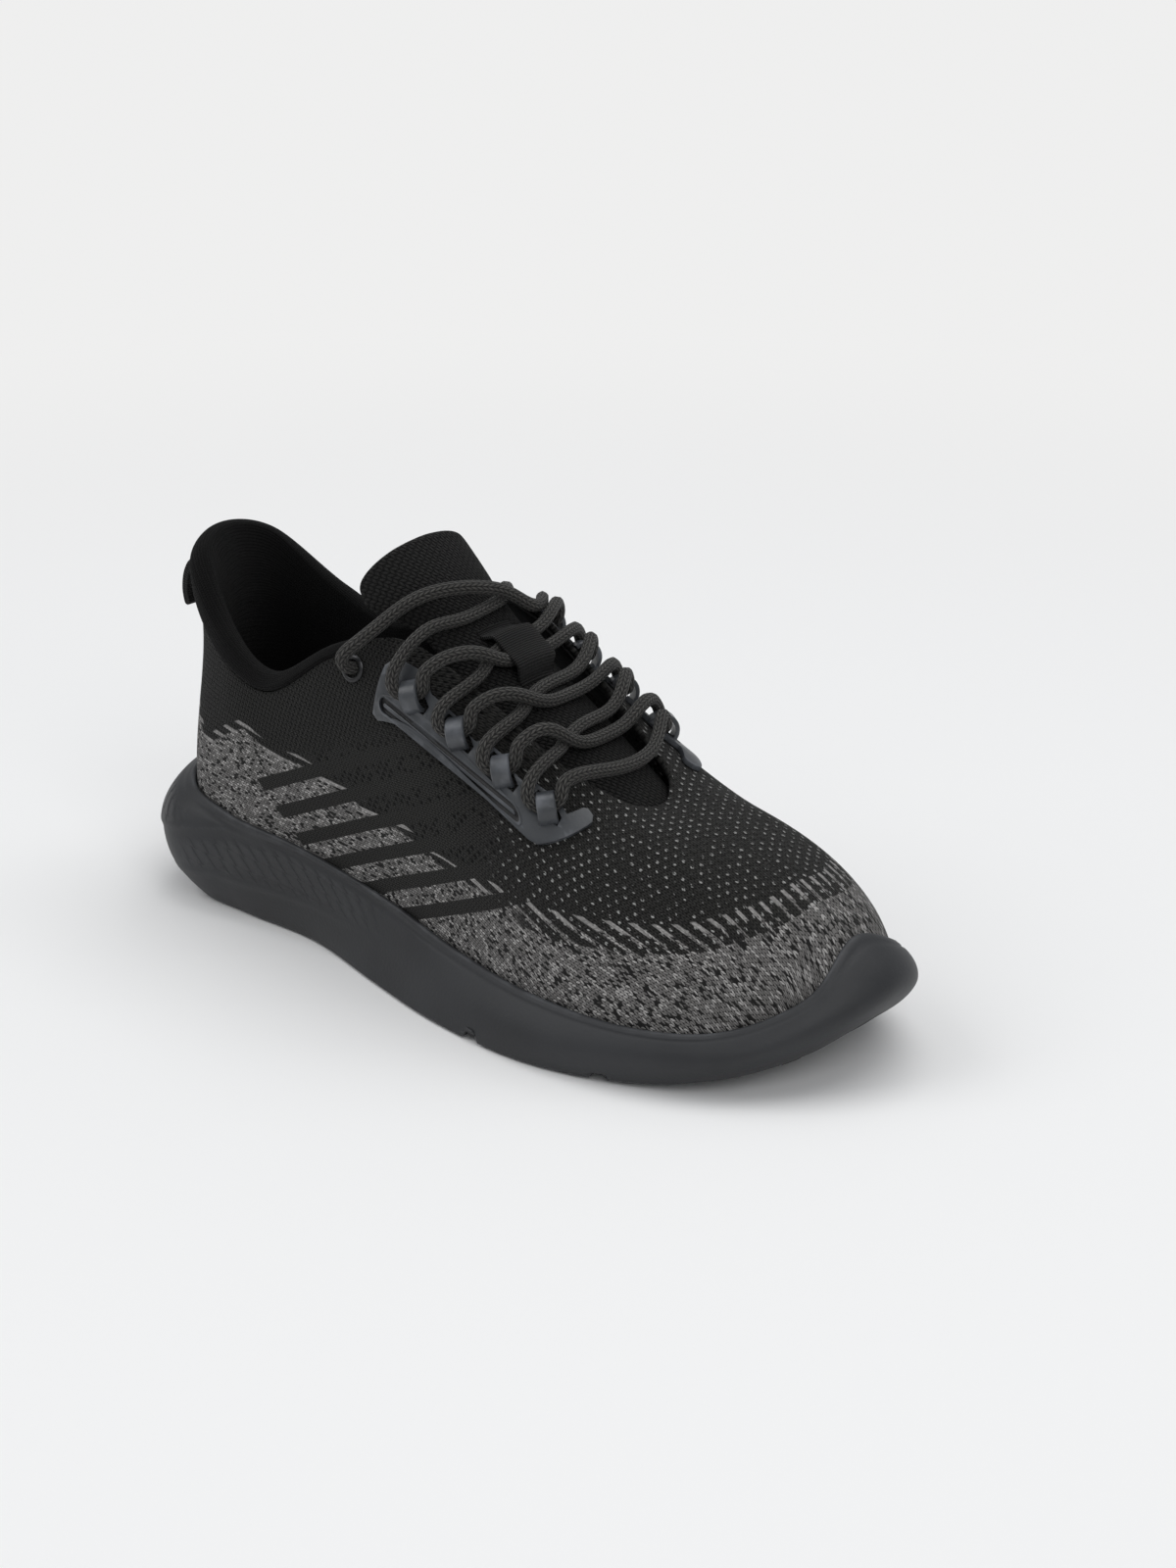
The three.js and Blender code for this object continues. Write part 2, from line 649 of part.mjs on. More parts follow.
function eyeletRun(side) {
  const spot = plates[side].eyelet;
  const frame = skinFrame(spot);
  const entry = intoEyelet.map(([x, y, z]) => new THREE.Vector3(x, y, z).applyMatrix4(frame));
  const sign = side === 'lateral' ? 1 : -1;
  const inside = tail.map(([mm, v]) => {
    const s = spot[0] + (sign * mm) / stationSpacing;
    return upperPoint(s / stations.length, v, tailDepth);
  });
  return [...entry, ...inside];
}

function laceRoute() {
  const reversed = (list) => [...list].reverse();
  const over = (list) => list.map(([x, y, z]) => overTongue(x, y, z));
  return [
    ...reversed([...over(topRun.medial), ...eyeletRun('medial')]),
    ...bridgeRun('lateral', 0),
    ...runAt(upperRun, 0),
    ...bridgeRun('medial', 1),
    ...reversed(runAt(lowerRun, 1)),
    ...bridgeRun('lateral', 2),
    ...runAt(upperRun, 2),
    ...bridgeRun('medial', 3),
    ...over(bottomBar),
    ...reversed(bridgeRun('lateral', 3)),
    ...runAt(lowerRun, 2),
    ...reversed(bridgeRun('medial', 2)),
    ...reversed(runAt(upperRun, 1)),
    ...reversed(bridgeRun('lateral', 1)),
    ...runAt(lowerRun, 0),
    ...reversed(bridgeRun('medial', 0)),
    ...over(topRun.lateral),
    ...eyeletRun('lateral'),
  ];
}

function cord(curve, radius, sides, steps) {
  curve.getUtoTmapping = (u) => u; // even steps between the route's points
  const section = new THREE.Shape();
  for (let k = 0; k < sides; k++) {
    const angle = (2 * Math.PI * k) / sides;
    const [x, y] = [radius * Math.cos(angle), radius * Math.sin(angle)];
    if (k === 0) section.moveTo(x, y);
    else section.lineTo(x, y);
  }
  return closedBox(new THREE.ExtrudeGeometry(section, { steps, extrudePath: curve }));
}

const aglet = { length: 20, radius: 1.8 };
const stepsPerPoint = 1.6;

function makeLace(route) {
  const steps = Math.round((route.length - 1) * stepsPerPoint);
  return cord(new THREE.CatmullRomCurve3(route), laceDiameter / 2, 8, steps);
}

// A rigid tip in line with the cord's end.
function makeAglet(end, before) {
  const direction = end.clone().sub(before).normalize();
  const tip = new THREE.CylinderGeometry(aglet.radius, aglet.radius, aglet.length, 8);
  tip.translate(0, aglet.length / 2 + fitGap, 0);
  const turn = new THREE.Quaternion().setFromUnitVectors(new THREE.Vector3(0, 1, 0), direction);
  tip.applyQuaternion(turn);
  tip.translate(end.x, end.y, end.z);
  return closedBox(tip);
}

// ---- Heel pull tab: a folded tape that hangs behind the collar ----
const heelCentre = stations[0].top[1] * widthGrade;

function makePullTab() {
  const line = [
    [-135, 112.6], [-138, 113.6], [-141.6, 112.2],
    [-144.4, 107.6], [-145.3, 101.5], [-144.3, 96.5],
  ];
  const curve = new THREE.CatmullRomCurve3(line.map(([x, z]) => graded([x, 0, z])));
  const steps = 12;
  const side = (offset) => range(steps + 1).map((i) => {
    const p = curve.getPoint(i / steps);
    const t = curve.getTangent(i / steps);
    return [p.x + t.z * offset, p.z - t.x * offset];
  });
  const outline = [...side(-tabThick / 2), ...side(tabThick / 2).reverse()];
  const shape = new THREE.Shape(outline.map(([x, z]) => new THREE.Vector2(x, z)));
  const tape = new THREE.ExtrudeGeometry(shape, { depth: tabWidth, bevelEnabled: false });
  tape.rotateX(Math.PI / 2);
  tape.translate(0, tabWidth / 2 + heelCentre, 0);
  return closedBox(tape);
}

const shoe = new THREE.Group();
function add(name, geometry, color, roughness, metalness = 0) {
  const material = new THREE.MeshStandardMaterial({ color, roughness, metalness });
  const mesh = new THREE.Mesh(geometry, material);
  mesh.name = name;
  shoe.add(mesh);
}

const graphite = 0x24262b;
const rubber = 0x1b1c1f;
const black = 0x141414;
const stiffenerTan = 0xb8b0a0;
const eyestayWall = 0.8;
const eyestaySpans = { lateral: [14 / 3, 22 / 3], medial: [12, 43 / 3] };
const sockInset = 6;
const sockBottom = boardThick + fitGap;
const behindStiffener = behindKnit - stiffenerWall;
const foamBack = (s, v) => behindKnit - foamAt(s, v);
const padBack = padTop - tonguePadThick;
const flapStart = tongueFold + foldGap;
const faceEnd = tongueFold - foldGap;
const tongueRows = 10;
const flapRows = 5;

add('midsole', makeMidsole(), graphite, 0.7);
for (const pad of pads) add(pad.name, padSolid(pad, 0, padBottom, padBottom + padThick), rubber, 0.8);
add('strobel_board', slab(knitWall + fitGap * 2, 0, boardThick), 0x6a665e, 0.9);
add('sockliner', slab(sockInset, sockBottom, sockBottom + sockThick), 0x1c1c1e, 0.9);
add('knit_upper', makeKnitUpper(), 0x1a1a1b, 0.95);
add('heel_counter', skinSheet(counterSpan, counterRungs, behindKnit, behindStiffener), stiffenerTan, 0.8);
add('toe_puff', skinSheet(puffSpan, puffRungs, behindKnit, behindStiffener), stiffenerTan, 0.8);
add('collar_foam', skinSheet(collarSpan, foamRungs, behindKnit, foamBack), 0x3a3a3a, 0.9);
add('collar_lining', makeCollarLining(), black, 0.9);
add('tongue_face', tongueSheet(0, faceEnd, 0, -tongueFaceThick, tongueRows), black, 0.95);
add('tongue_flap_face', tongueSheet(flapStart, 1, 0, -tongueFaceThick, flapRows), black, 0.95);
add('tongue_pad', tongueSheet(0, faceEnd, padTop, padBack, tongueRows), black, 0.95);
add('tongue_flap_pad', tongueSheet(flapStart, 1, padTop, padBack, flapRows), black, 0.95);
add('tongue_loop', makeTongueLoop(), black, 0.85);
for (const [side, plate] of Object.entries(plates)) {
  const eyestay = skinSheet(eyestaySpans[side], eyestayRungs, behindKnit, behindKnit - eyestayWall);
  add(`eyestay_${side}`, eyestay, 0x222222, 0.9);
  add(`lace_plate_${side}`, makePlate(plate), 0x2c2f34, 0.45);
  add(`eyelet_${side}`, makeEyelet(plate.eyelet), 0x101010, 0.35, 0.3);
  add(`eyelet_washer_${side}`, makeWasher(plate.eyelet), 0x303030, 0.4, 0.6);
}
add('heel_pull_tab', makePullTab(), black, 0.85);
const route = laceRoute();
add('lace', makeLace(route), black, 0.9);
add('aglet_medial', makeAglet(route[0], route[1]), black, 0.4);
add('aglet_lateral', makeAglet(route.at(-1), route.at(-2)), black, 0.4);

// The origin is on the floor at the middle of the shoe's length and width.
const extent = new THREE.Box3().setFromObject(shoe);
const middle = extent.getCenter(new THREE.Vector3());
shoe.position.set(-middle.x, -middle.y, -extent.min.z);

export default shoe;
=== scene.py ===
# A knit running shoe, right foot, dressed over its working model.
# The shapes are drawn in millimetres on the shoe's last and put into the frame in metres.
import bpy
import bmesh
import math
import numpy as np
from mathutils import Matrix, Vector


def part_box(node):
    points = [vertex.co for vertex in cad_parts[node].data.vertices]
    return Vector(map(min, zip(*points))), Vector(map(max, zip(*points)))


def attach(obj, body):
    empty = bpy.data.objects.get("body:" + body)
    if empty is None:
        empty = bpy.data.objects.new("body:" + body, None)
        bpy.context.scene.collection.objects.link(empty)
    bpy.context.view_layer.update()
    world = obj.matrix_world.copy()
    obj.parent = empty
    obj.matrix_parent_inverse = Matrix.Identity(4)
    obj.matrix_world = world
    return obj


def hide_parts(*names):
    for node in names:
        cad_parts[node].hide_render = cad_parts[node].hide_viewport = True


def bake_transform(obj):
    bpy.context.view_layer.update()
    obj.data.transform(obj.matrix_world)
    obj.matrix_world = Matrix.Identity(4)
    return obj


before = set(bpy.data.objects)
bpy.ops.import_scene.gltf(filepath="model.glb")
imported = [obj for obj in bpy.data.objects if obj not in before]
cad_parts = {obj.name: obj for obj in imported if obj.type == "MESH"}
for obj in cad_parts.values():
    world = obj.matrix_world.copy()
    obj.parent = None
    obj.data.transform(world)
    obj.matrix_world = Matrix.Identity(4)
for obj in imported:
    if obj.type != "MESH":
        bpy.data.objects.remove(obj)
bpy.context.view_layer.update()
print("frame loaded")

# ---- Camera, floor and light ----
view = {"azimuth": 38.342, "elevation": 21.422, "roll": -0.252, "distance": 0.9, "lens": 61.026,
        "target": (0.00063, 0.04134, 0.05)}


def makeCamera():
    turn, tilt, roll = (math.radians(view[k]) for k in ("azimuth", "elevation", "roll"))
    back = Vector((math.sin(turn) * math.cos(tilt), -math.cos(turn) * math.cos(tilt), math.sin(tilt)))
    right = Vector((math.cos(turn), math.sin(turn), 0))
    up = back.cross(right)
    side = right * math.cos(roll) - up * math.sin(roll)
    top = right * math.sin(roll) + up * math.cos(roll)
    data = bpy.data.cameras.new("camera")
    data.lens = view["lens"]
    data.clip_end = 200
    camera = bpy.data.objects.new("camera", data)
    place = Matrix((side, top, back)).transposed().to_4x4()
    place.translation = Vector(view["target"]) + back * view["distance"]
    camera.matrix_world = place
    bpy.context.scene.collection.objects.link(camera)
    bpy.context.scene.camera = camera


lamps = {
    "lampLeft": {"at": (-1.3, -1.2, 1.7), "size": 1.5, "power": 14.5},
    "lampRight": {"at": (1.5, -1.0, 1.5), "size": 1.4, "power": 12.5},
    "lampTop": {"at": (0.1, 0.6, 2.0), "size": 1.8, "power": 19},
}


def makeStudio():
    for name, lamp in lamps.items():
        data = bpy.data.lights.new(name, "AREA")
        data.size = lamp["size"]
        data.energy = lamp["power"]
        light = bpy.data.objects.new(name, data)
        light.location = lamp["at"]
        light.rotation_euler = (Vector((0, 0, 0.05)) - light.location).to_track_quat("-Z", "Y").to_euler()
        bpy.context.scene.collection.objects.link(light)
    world = bpy.data.worlds.new("studio")
    world.use_nodes = True
    world.node_tree.nodes["Background"].inputs["Color"].default_value = (0.95, 0.97, 1, 1)
    world.node_tree.nodes["Background"].inputs["Strength"].default_value = 0.38
    bpy.context.scene.world = world
    bpy.context.scene.view_settings.view_transform = "Standard"


makeCamera()
makeStudio()

# ---- The last ----
# One row for each station, from the heel along the outer side to the toe and back along the inner side:
# feather edge x y z, topline x y z, the section's foot handle (out, up) and head handle (out, down),
# then the sole's lip, bulge and ground line (out, height).
lastRows = np.array([
    (-133, 0, 24, -137, 1, 121, 8, 36, -13, 27, 3, 46, 16, 26, -2, 4),
    (-122, -26, 24, -128, -20, 116, 7, 34, -9, 26, 3, 42, 15, 24, 2, 1),
    (-97, -34, 23, -104, -31, 98, 4, 28, 0, 20, 3, 38, 6, 20, -1, 1),
    (-62, -35, 20, -80, -33, 89, 3, 25, 2, 18, 3, 35, 3, 17, 0, 1),
    (-24, -37, 16, -52, -32, 105, 2, 30, 4, 20, 3, 28, 6, 13, 9, 1),
    (14, -44, 13, -26, -26, 113, 2, 32, 12, 14, 3, 22, 9, 11, 12, 1),
    (50, -50, 12, 4, -22, 100, 2, 26, 16, 16, 3, 20, 9, 10, 9, 1),
    (84, -47, 12, 32, -20, 84, 3, 20, 22, 18, 3, 19, 7, 11, 4, 2),
    (110, -35, 13, 48, -14, 75, 3, 18, 28, 14, 3, 21, 7, 14, 2, 6),
    (128, -15, 15, 55, -8, 71, 5, 24, 40, 9, 3, 30, 7, 22, -3, 10),
    (134, 6, 17, 58, 0, 70, 6, 28, 46, 6, 3, 43, 9, 29, -6, 12),
    (128, 26, 15, 55, 8, 72, 7, 28, 46, 8, 3, 32, 8, 22, -2, 10),
    (104, 42, 13, 46, 15, 78, 5, 25, 33, 14, 3, 22, 7, 13, 3, 5),
    (66, 46, 12, 10, 22, 101, 3, 28, 16, 16, 3, 21, 8, 10, 6, 1),
    (26, 38, 14, -22, 26, 116, 2, 32, 12, 14, 3, 24, 7, 12, 6, 1),
    (-18, 30, 18, -50, 31, 107, 2, 30, 4, 20, 3, 31, 5, 15, 5, 1),
    (-58, 31, 22, -78, 33, 92, 3, 25, 2, 18, 3, 36, 4, 18, 1, 1),
    (-95, 33, 24, -103, 30, 100, 4, 28, 0, 20, 3, 39, 6, 21, 0, 1),
    (-121, 25, 24, -128, 20, 117, 7, 34, -9, 26, 3, 42, 15, 24, 1, 1),
], float)
columns = {"feather": slice(0, 3), "top": slice(3, 6), "foot": slice(6, 8), "head": slice(8, 10),
           "lip": slice(10, 12), "bulge": slice(12, 14), "ground": slice(14, 16)}
stationCount = len(lastRows)
toeStation = 10
frameOrigin = np.array((2.6985, 2.7486, 0))  # from the last's own origin to the middle of the shoe
fit = {"gap": 0.3, "knitWall": 1.6, "foamWall": 4.5, "foamEdge": 1.2, "liningWall": 1, "foamLift": 1}


def toFrame(points):
    return (np.asarray(points, float) + frameOrigin) * 0.001


def unit(v):
    return v / np.maximum(np.linalg.norm(v, axis=-1, keepdims=True), 1e-9)


def smooth(x, low, high):
    t = np.clip((x - low) / (high - low), 0, 1)
    return t * t * (3 - 2 * t)


def smoothThrough(a, b, c, d, f):  # between b and c at f, with a and d as their neighbours
    bend = 2 * a - 5 * b + 4 * c - d + f * (3 * (b - c) + d - a)
    return b + 0.5 * f * (c - a + f * bend)


def column(key, s):
    rows = lastRows[:, columns[key]]
    i = np.floor(s).astype(int)
    f = (s - i)[..., None]
    return smoothThrough(*(rows[(i + k) % stationCount] for k in (-1, 0, 1, 2)), f)


def outward(s):
    along = column("feather", s + 0.038) - column("feather", s - 0.038)
    return unit(np.stack([along[..., 1], -along[..., 0], 0 * along[..., 0]], -1))


def skin(s, v):  # the outside of the upper: s along the stations, v up the section
    s, v = np.broadcast_arrays(np.asarray(s, float), np.asarray(v, float))
    bottom, top, out = column("feather", s), column("top", s), outward(s)
    foot, head = column("foot", s), column("head", s)
    low = bottom + out * foot[..., :1]
    low[..., 2] += foot[..., 1]
    high = top + out * head[..., :1]
    high[..., 2] -= head[..., 1]
    v = v[..., None]
    w = 1 - v
    return w**3 * bottom + 3 * w * w * v * low + 3 * w * v * v * high + v**3 * top


def skinNormal(s, v):
    s, v = np.broadcast_arrays(np.asarray(s, float), np.asarray(v, float))
    along = skin(s + 0.076, v) - skin(s - 0.076, v)
    rise = skin(s, np.minimum(1, v + 0.004)) - skin(s, np.maximum(0, v - 0.004))
    return unit(np.cross(along, rise))


def onSkin(s, v, lift=0.0):
    return skin(s, v) + skinNormal(s, v) * np.asarray(lift, float)[..., None]


def skinAxes(spot, lift=0.0):  # origin and axes at a spot: along the shoe, towards the throat, out
    s, v = spot
    normal = skinNormal(s, v)
    rise = unit(skin(s, min(1, v + 0.01)) - skin(s, v - 0.01))
    along = unit(np.cross(rise, normal))
    return onSkin(s, v, lift), np.stack([along, rise, normal])


def runLength(points):  # the distance along a line at each of its points
    return np.concatenate([[0], np.cumsum(np.linalg.norm(np.diff(points, axis=0), axis=1))])


def stationAt(p):  # equal numbers of steps on the outer and the inner side
    return np.where(p < 0.5, 2 * toeStation * p, toeStation + 2 * (stationCount - toeStation) * (p - 0.5))


def threadCurve(points, t):  # a centripetal spline through the points, t from 0 to 1
    points = np.asarray(points, float)
    ends = [2 * points[0] - points[1], *points, 2 * points[-1] - points[-2]]
    rows = np.array(ends)
    spot = np.asarray(t, float) * (len(points) - 1)
    i = np.minimum(np.floor(spot).astype(int), len(points) - 2)
    f = (spot - i)[..., None]
    a, b, c, d = (rows[i + k] for k in range(4))
    gaps = [np.maximum(np.linalg.norm(q - r, axis=-1, keepdims=True), 1e-8) ** 0.5
            for q, r in ((b, a), (c, b), (d, c))]
    leave = ((b - a) / gaps[0] - (c - a) / (gaps[0] + gaps[1]) + (c - b) / gaps[1]) * gaps[1]
    arrive = ((c - b) / gaps[1] - (d - b) / (gaps[1] + gaps[2]) + (d - c) / gaps[2]) * gaps[1]
    return b + f * (leave + f * (3 * (c - b) - 2 * leave - arrive + f * (2 * (b - c) + leave + arrive)))


# ---- Making pieces ----
def finishPiece(name, bm, material, body, smoothed=True):
    mesh = bpy.data.meshes.new(name)
    bm.to_mesh(mesh)
    bm.free()
    for face in mesh.polygons:
        face.use_smooth = smoothed
    piece = bpy.data.objects.new(name, mesh)
    bpy.context.scene.collection.objects.link(piece)
    piece.data.materials.append(material)
    if body:
        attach(piece, body)
    return piece


def gridMesh(cols, rows, shape, uv=None, values=None, merge=True):
    # shape(p, q) gives points in millimetres; uv(p, q) a pattern's place; values(p, q) named numbers
    bm = bmesh.new()
    bmesh.ops.create_grid(bm, x_segments=cols, y_segments=rows, size=0.5)
    place = np.array([v.co for v in bm.verts])
    p = np.round((place[:, 0] + 0.5) * cols) / cols
    q = np.round((place[:, 1] + 0.5) * rows) / rows
    for vert, point in zip(bm.verts, toFrame(shape(p, q))):
        vert.co = point
    if values:
        for key, numbers in values(p, q).items():
            layer = bm.verts.layers.float.new(key)
            for vert, number in zip(bm.verts, numbers):
                vert[layer] = number
    if uv:
        spots = np.stack(uv(p, q), -1)
        bm.verts.index_update()
        layer = bm.loops.layers.uv.new("UVMap")
        for face in bm.faces:
            for loop in face.loops:
                loop[layer].uv = spots[loop.vert.index]
    if merge:
        bmesh.ops.remove_doubles(bm, verts=bm.verts, dist=2e-6)
    return bm


def closeEnds(bm):
    bmesh.ops.holes_fill(bm, edges=[e for e in bm.edges if e.is_boundary], sides=0)
    bmesh.ops.recalc_face_normals(bm, faces=bm.faces)


def addModifier(piece, kind, **settings):
    modifier = piece.modifiers.new(kind.lower(), kind)
    for key, value in settings.items():
        setattr(modifier, key, value)
    return modifier


def applyModifiers(piece):
    graph = bpy.context.evaluated_depsgraph_get()
    mesh = bpy.data.meshes.new_from_object(piece.evaluated_get(graph), depsgraph=graph)
    piece.modifiers.clear()
    piece.data = mesh


def plump(piece, held, pressure, most):  # fills a padded piece by cloth simulation, held where it is sewn
    rest = np.array([v.co for v in piece.data.vertices])
    group = piece.vertex_groups.new(name="sewn")
    for i, weight in enumerate(held):
        group.add([i], float(weight), "REPLACE")
    cloth = addModifier(piece, "CLOTH")
    cloth.settings.vertex_group_mass = "sewn"
    cloth.settings.use_pressure = True
    cloth.settings.uniform_pressure_force = pressure
    cloth.settings.quality = 6
    cloth.settings.tension_stiffness = 12
    cloth.settings.compression_stiffness = 12
    cloth.settings.bending_stiffness = 0.3
    cloth.settings.effector_weights.gravity = 0
    scene = bpy.context.scene
    for step in range(1, 21):
        scene.frame_set(step)
    graph = bpy.context.evaluated_depsgraph_get()
    filled = np.array([v.co for v in piece.evaluated_get(graph).data.vertices])
    piece.modifiers.clear()
    scene.frame_set(1)
    move = filled - rest
    far = np.linalg.norm(move, axis=1, keepdims=True)
    move = move * np.minimum(1, most / np.maximum(far, 1e-9))
    for vert, point in zip(piece.data.vertices, rest + move):
        vert.co = point
    piece.vertex_groups.clear()


# ---- Shader helpers ----
def wire(tree, kind, inputs=None, **settings):
    node = tree.nodes.new(kind)
    for key, value in settings.items():
        setattr(node, key, value)
    for key, value in (inputs or {}).items():
        if isinstance(value, bpy.types.NodeSocket):
            tree.links.new(value, node.inputs[key])
        else:
            node.inputs[key].default_value = value
    return node


def calc(tree, operation, *values, clamp=False):
    node = wire(tree, "ShaderNodeMath", dict(enumerate(values)), operation=operation, use_clamp=clamp)
    return node.outputs[0]


def times(tree, *values):
    total = values[0]
    for value in values[1:]:
        total = calc(tree, "MULTIPLY", total, value)
    return total


def plus(tree, a, b):
    return calc(tree, "ADD", a, b)


def invert(tree, value):
    return calc(tree, "SUBTRACT", 1, value)


def ramp(tree, value, low, high):  # 0 below low, 1 above high
    node = wire(tree, "ShaderNodeMapRange", {0: value, 1: low, 2: high}, interpolation_type="SMOOTHSTEP")
    return node.outputs[0]


def mixColor(tree, factor, a, b):
    node = wire(tree, "ShaderNodeMix", data_type="RGBA")
    for i, value in ((0, factor), (6, a), (7, b)):
        if isinstance(value, bpy.types.NodeSocket):
            tree.links.new(value, node.inputs[i])
        else:
            node.inputs[i].default_value = value if i == 0 else (*value, 1)
    return node.outputs[2]


def newGroup(name, ins, outs):
    tree = bpy.data.node_groups.new(name, "ShaderNodeTree")
    for key, kind in ins.items():
        tree.interface.new_socket(name=key, in_out="INPUT", socket_type="NodeSocket" + kind)
    for key, kind in outs.items():
        tree.interface.new_socket(name=key, in_out="OUTPUT", socket_type="NodeSocket" + kind)
    return tree, tree.nodes.new("NodeGroupInput").outputs, tree.nodes.new("NodeGroupOutput").inputs


def group(tree, shared, **inputs):
    node = wire(tree, "ShaderNodeGroup", None, node_tree=shared)
    for key, value in inputs.items():
        socket = node.inputs[key]
        if isinstance(value, bpy.types.NodeSocket):
            tree.links.new(value, socket)
        else:
            socket.default_value = value
    return node.outputs


def makeStitches():  # knit loops: slanted legs in columns, mirrored from one column to the next
    tree, given, result = newGroup("knitStitches",
                                   {"Place": "Vector", "Course": "Float", "Wale": "Float", "Slant": "Float"},
                                   {"Height": "Float", "Random": "Float"})
    parts = wire(tree, "ShaderNodeSeparateXYZ", {0: given["Place"]}).outputs
    across = calc(tree, "DIVIDE", parts[1], given["Wale"])
    columnNumber = calc(tree, "FLOOR", across)
    inColumn = calc(tree, "SUBTRACT", calc(tree, "FRACT", across), 0.5)
    flip = calc(tree, "SUBTRACT", times(tree, calc(tree, "FLOORED_MODULO", columnNumber, 2), 2), 1)
    lean = times(tree, inColumn, flip, given["Slant"])
    along = plus(tree, calc(tree, "DIVIDE", parts[0], given["Course"]), lean)
    inLoop = calc(tree, "SUBTRACT", calc(tree, "FRACT", along), 0.5)
    high = [invert(tree, times(tree, x, x, 4))
            for x in (inColumn, inLoop)]
    height = calc(tree, "MULTIPLY", high[0], high[1], clamp=True)
    tree.links.new(calc(tree, "POWER", height, 0.6), result["Height"])
    cell = wire(tree, "ShaderNodeCombineXYZ", {0: calc(tree, "FLOOR", along), 1: columnNumber})
    noise = wire(tree, "ShaderNodeTexWhiteNoise", {"Vector": cell.outputs[0]}, noise_dimensions="2D")
    tree.links.new(noise.outputs["Value"], result["Random"])
    return tree


def makeHoles():  # a net of small holes, every other row moved by half a pitch
    tree, given, result = newGroup("meshHoles",
                                   {"Place": "Vector", "Pitch": "Float", "Row": "Float", "Size": "Float"},
                                   {"Hole": "Float", "Random": "Float"})
    parts = wire(tree, "ShaderNodeSeparateXYZ", {0: given["Place"]}).outputs
    row = calc(tree, "DIVIDE", parts[1], given["Row"])
    rowNumber = calc(tree, "FLOOR", row)
    shift = times(tree, calc(tree, "FLOORED_MODULO", rowNumber, 2), 0.5)
    along = plus(tree, calc(tree, "DIVIDE", parts[0], given["Pitch"]), shift)
    x = calc(tree, "SUBTRACT", calc(tree, "FRACT", along), 0.5)
    y = calc(tree, "SUBTRACT", calc(tree, "FRACT", row), 0.5)
    far = calc(tree, "SQRT", plus(tree, times(tree, x, x), times(tree, y, y)))
    soft = wire(tree, "ShaderNodeMapRange", {0: far, 1: given["Size"], 2: 0.1, 3: 0, 4: 1},
                interpolation_type="SMOOTHSTEP")
    tree.links.new(soft.outputs[0], result["Hole"])
    cell = wire(tree, "ShaderNodeCombineXYZ", {0: calc(tree, "FLOOR", along), 1: rowNumber})
    noise = wire(tree, "ShaderNodeTexWhiteNoise", {"Vector": cell.outputs[0]}, noise_dimensions="2D")
    tree.links.new(noise.outputs["Value"], result["Random"])
    return tree


def makeGrain():  # fine grain and slow cloudiness for moulded surfaces
    tree, given, result = newGroup("mouldedGrain", {"Scale": "Float", "Cloud": "Float"},
                                   {"Grain": "Float", "Cloudiness": "Float"})
    place = wire(tree, "ShaderNodeTexCoord").outputs["Object"]
    fine = wire(tree, "ShaderNodeTexNoise", {"Vector": place, "Scale": given["Scale"], "Detail": 4})
    slow = wire(tree, "ShaderNodeTexNoise", {"Vector": place, "Scale": given["Cloud"], "Detail": 5})
    tree.links.new(fine.outputs["Fac"], result["Grain"])
    tree.links.new(slow.outputs["Fac"], result["Cloudiness"])
    return tree


def makeWear():  # pale scuffs along raised edges
    tree, given, result = newGroup("edgeWear", {"Amount": "Float"}, {"Wear": "Float"})
    geometry = wire(tree, "ShaderNodeNewGeometry").outputs["Pointiness"]
    edge = ramp(tree, geometry, 0.505, 0.56)
    place = wire(tree, "ShaderNodeTexCoord").outputs["Object"]
    patches = wire(tree, "ShaderNodeTexNoise", {"Vector": place, "Scale": 90, "Detail": 5}).outputs["Fac"]
    worn = times(tree, edge, ramp(tree, patches, 0.42, 0.68))
    tree.links.new(times(tree, worn, given["Amount"]), result["Wear"])
    return tree


stitches, holes, grain, wear = makeStitches(), makeHoles(), makeGrain(), makeWear()


def newMaterial(name, **fixed):
    material = bpy.data.materials.new(name)
    material.use_nodes = True
    tree = material.node_tree
    shader = tree.nodes["Principled BSDF"]
    for key, value in fixed.items():
        socket = shader.inputs[key.replace("_", " ")]
        socket.default_value = (*value, 1) if isinstance(value, tuple) else value
    return material, tree, shader


def addBump(tree, shader, height, distance, strength=1.0):
    node = wire(tree, "ShaderNodeBump", {"Strength": strength, "Distance": distance, "Height": height})
    tree.links.new(node.outputs[0], shader.inputs["Normal"])


def patternPlace(tree):
    return wire(tree, "ShaderNodeUVMap", None, uv_map="UVMap").outputs[0]


def attributeOf(tree, name):
    return wire(tree, "ShaderNodeAttribute", None, attribute_name=name).outputs["Fac"]


# ---- Materials ----
# lift is a painted highlight: the lighter colour laid on the black yarn's loop crests
knitLook = {"black": (0.0022, 0.0022, 0.002), "lift": (0.027, 0.0266, 0.025), "grey": (0.15, 0.145, 0.141),
            # the fleck colour is the grey yarn's real dark flecks and also its painted shade between loops
            "pale": (0.36, 0.35, 0.342), "fleckAndShade": (0.014, 0.014, 0.0135), "dot": (0.4, 0.4, 0.39)}


bars = {"slant": 0.44, "first": 91.4, "pitch": 11.42, "phase": 0.215, "edge": (0.205, 0.235),
        "last": (5.5, 5.6)}
fingers = {"pitch": 4.4, "edge": (0.13, 0.2), "up": (3, 3.6), "down": (-6.5, -6)}


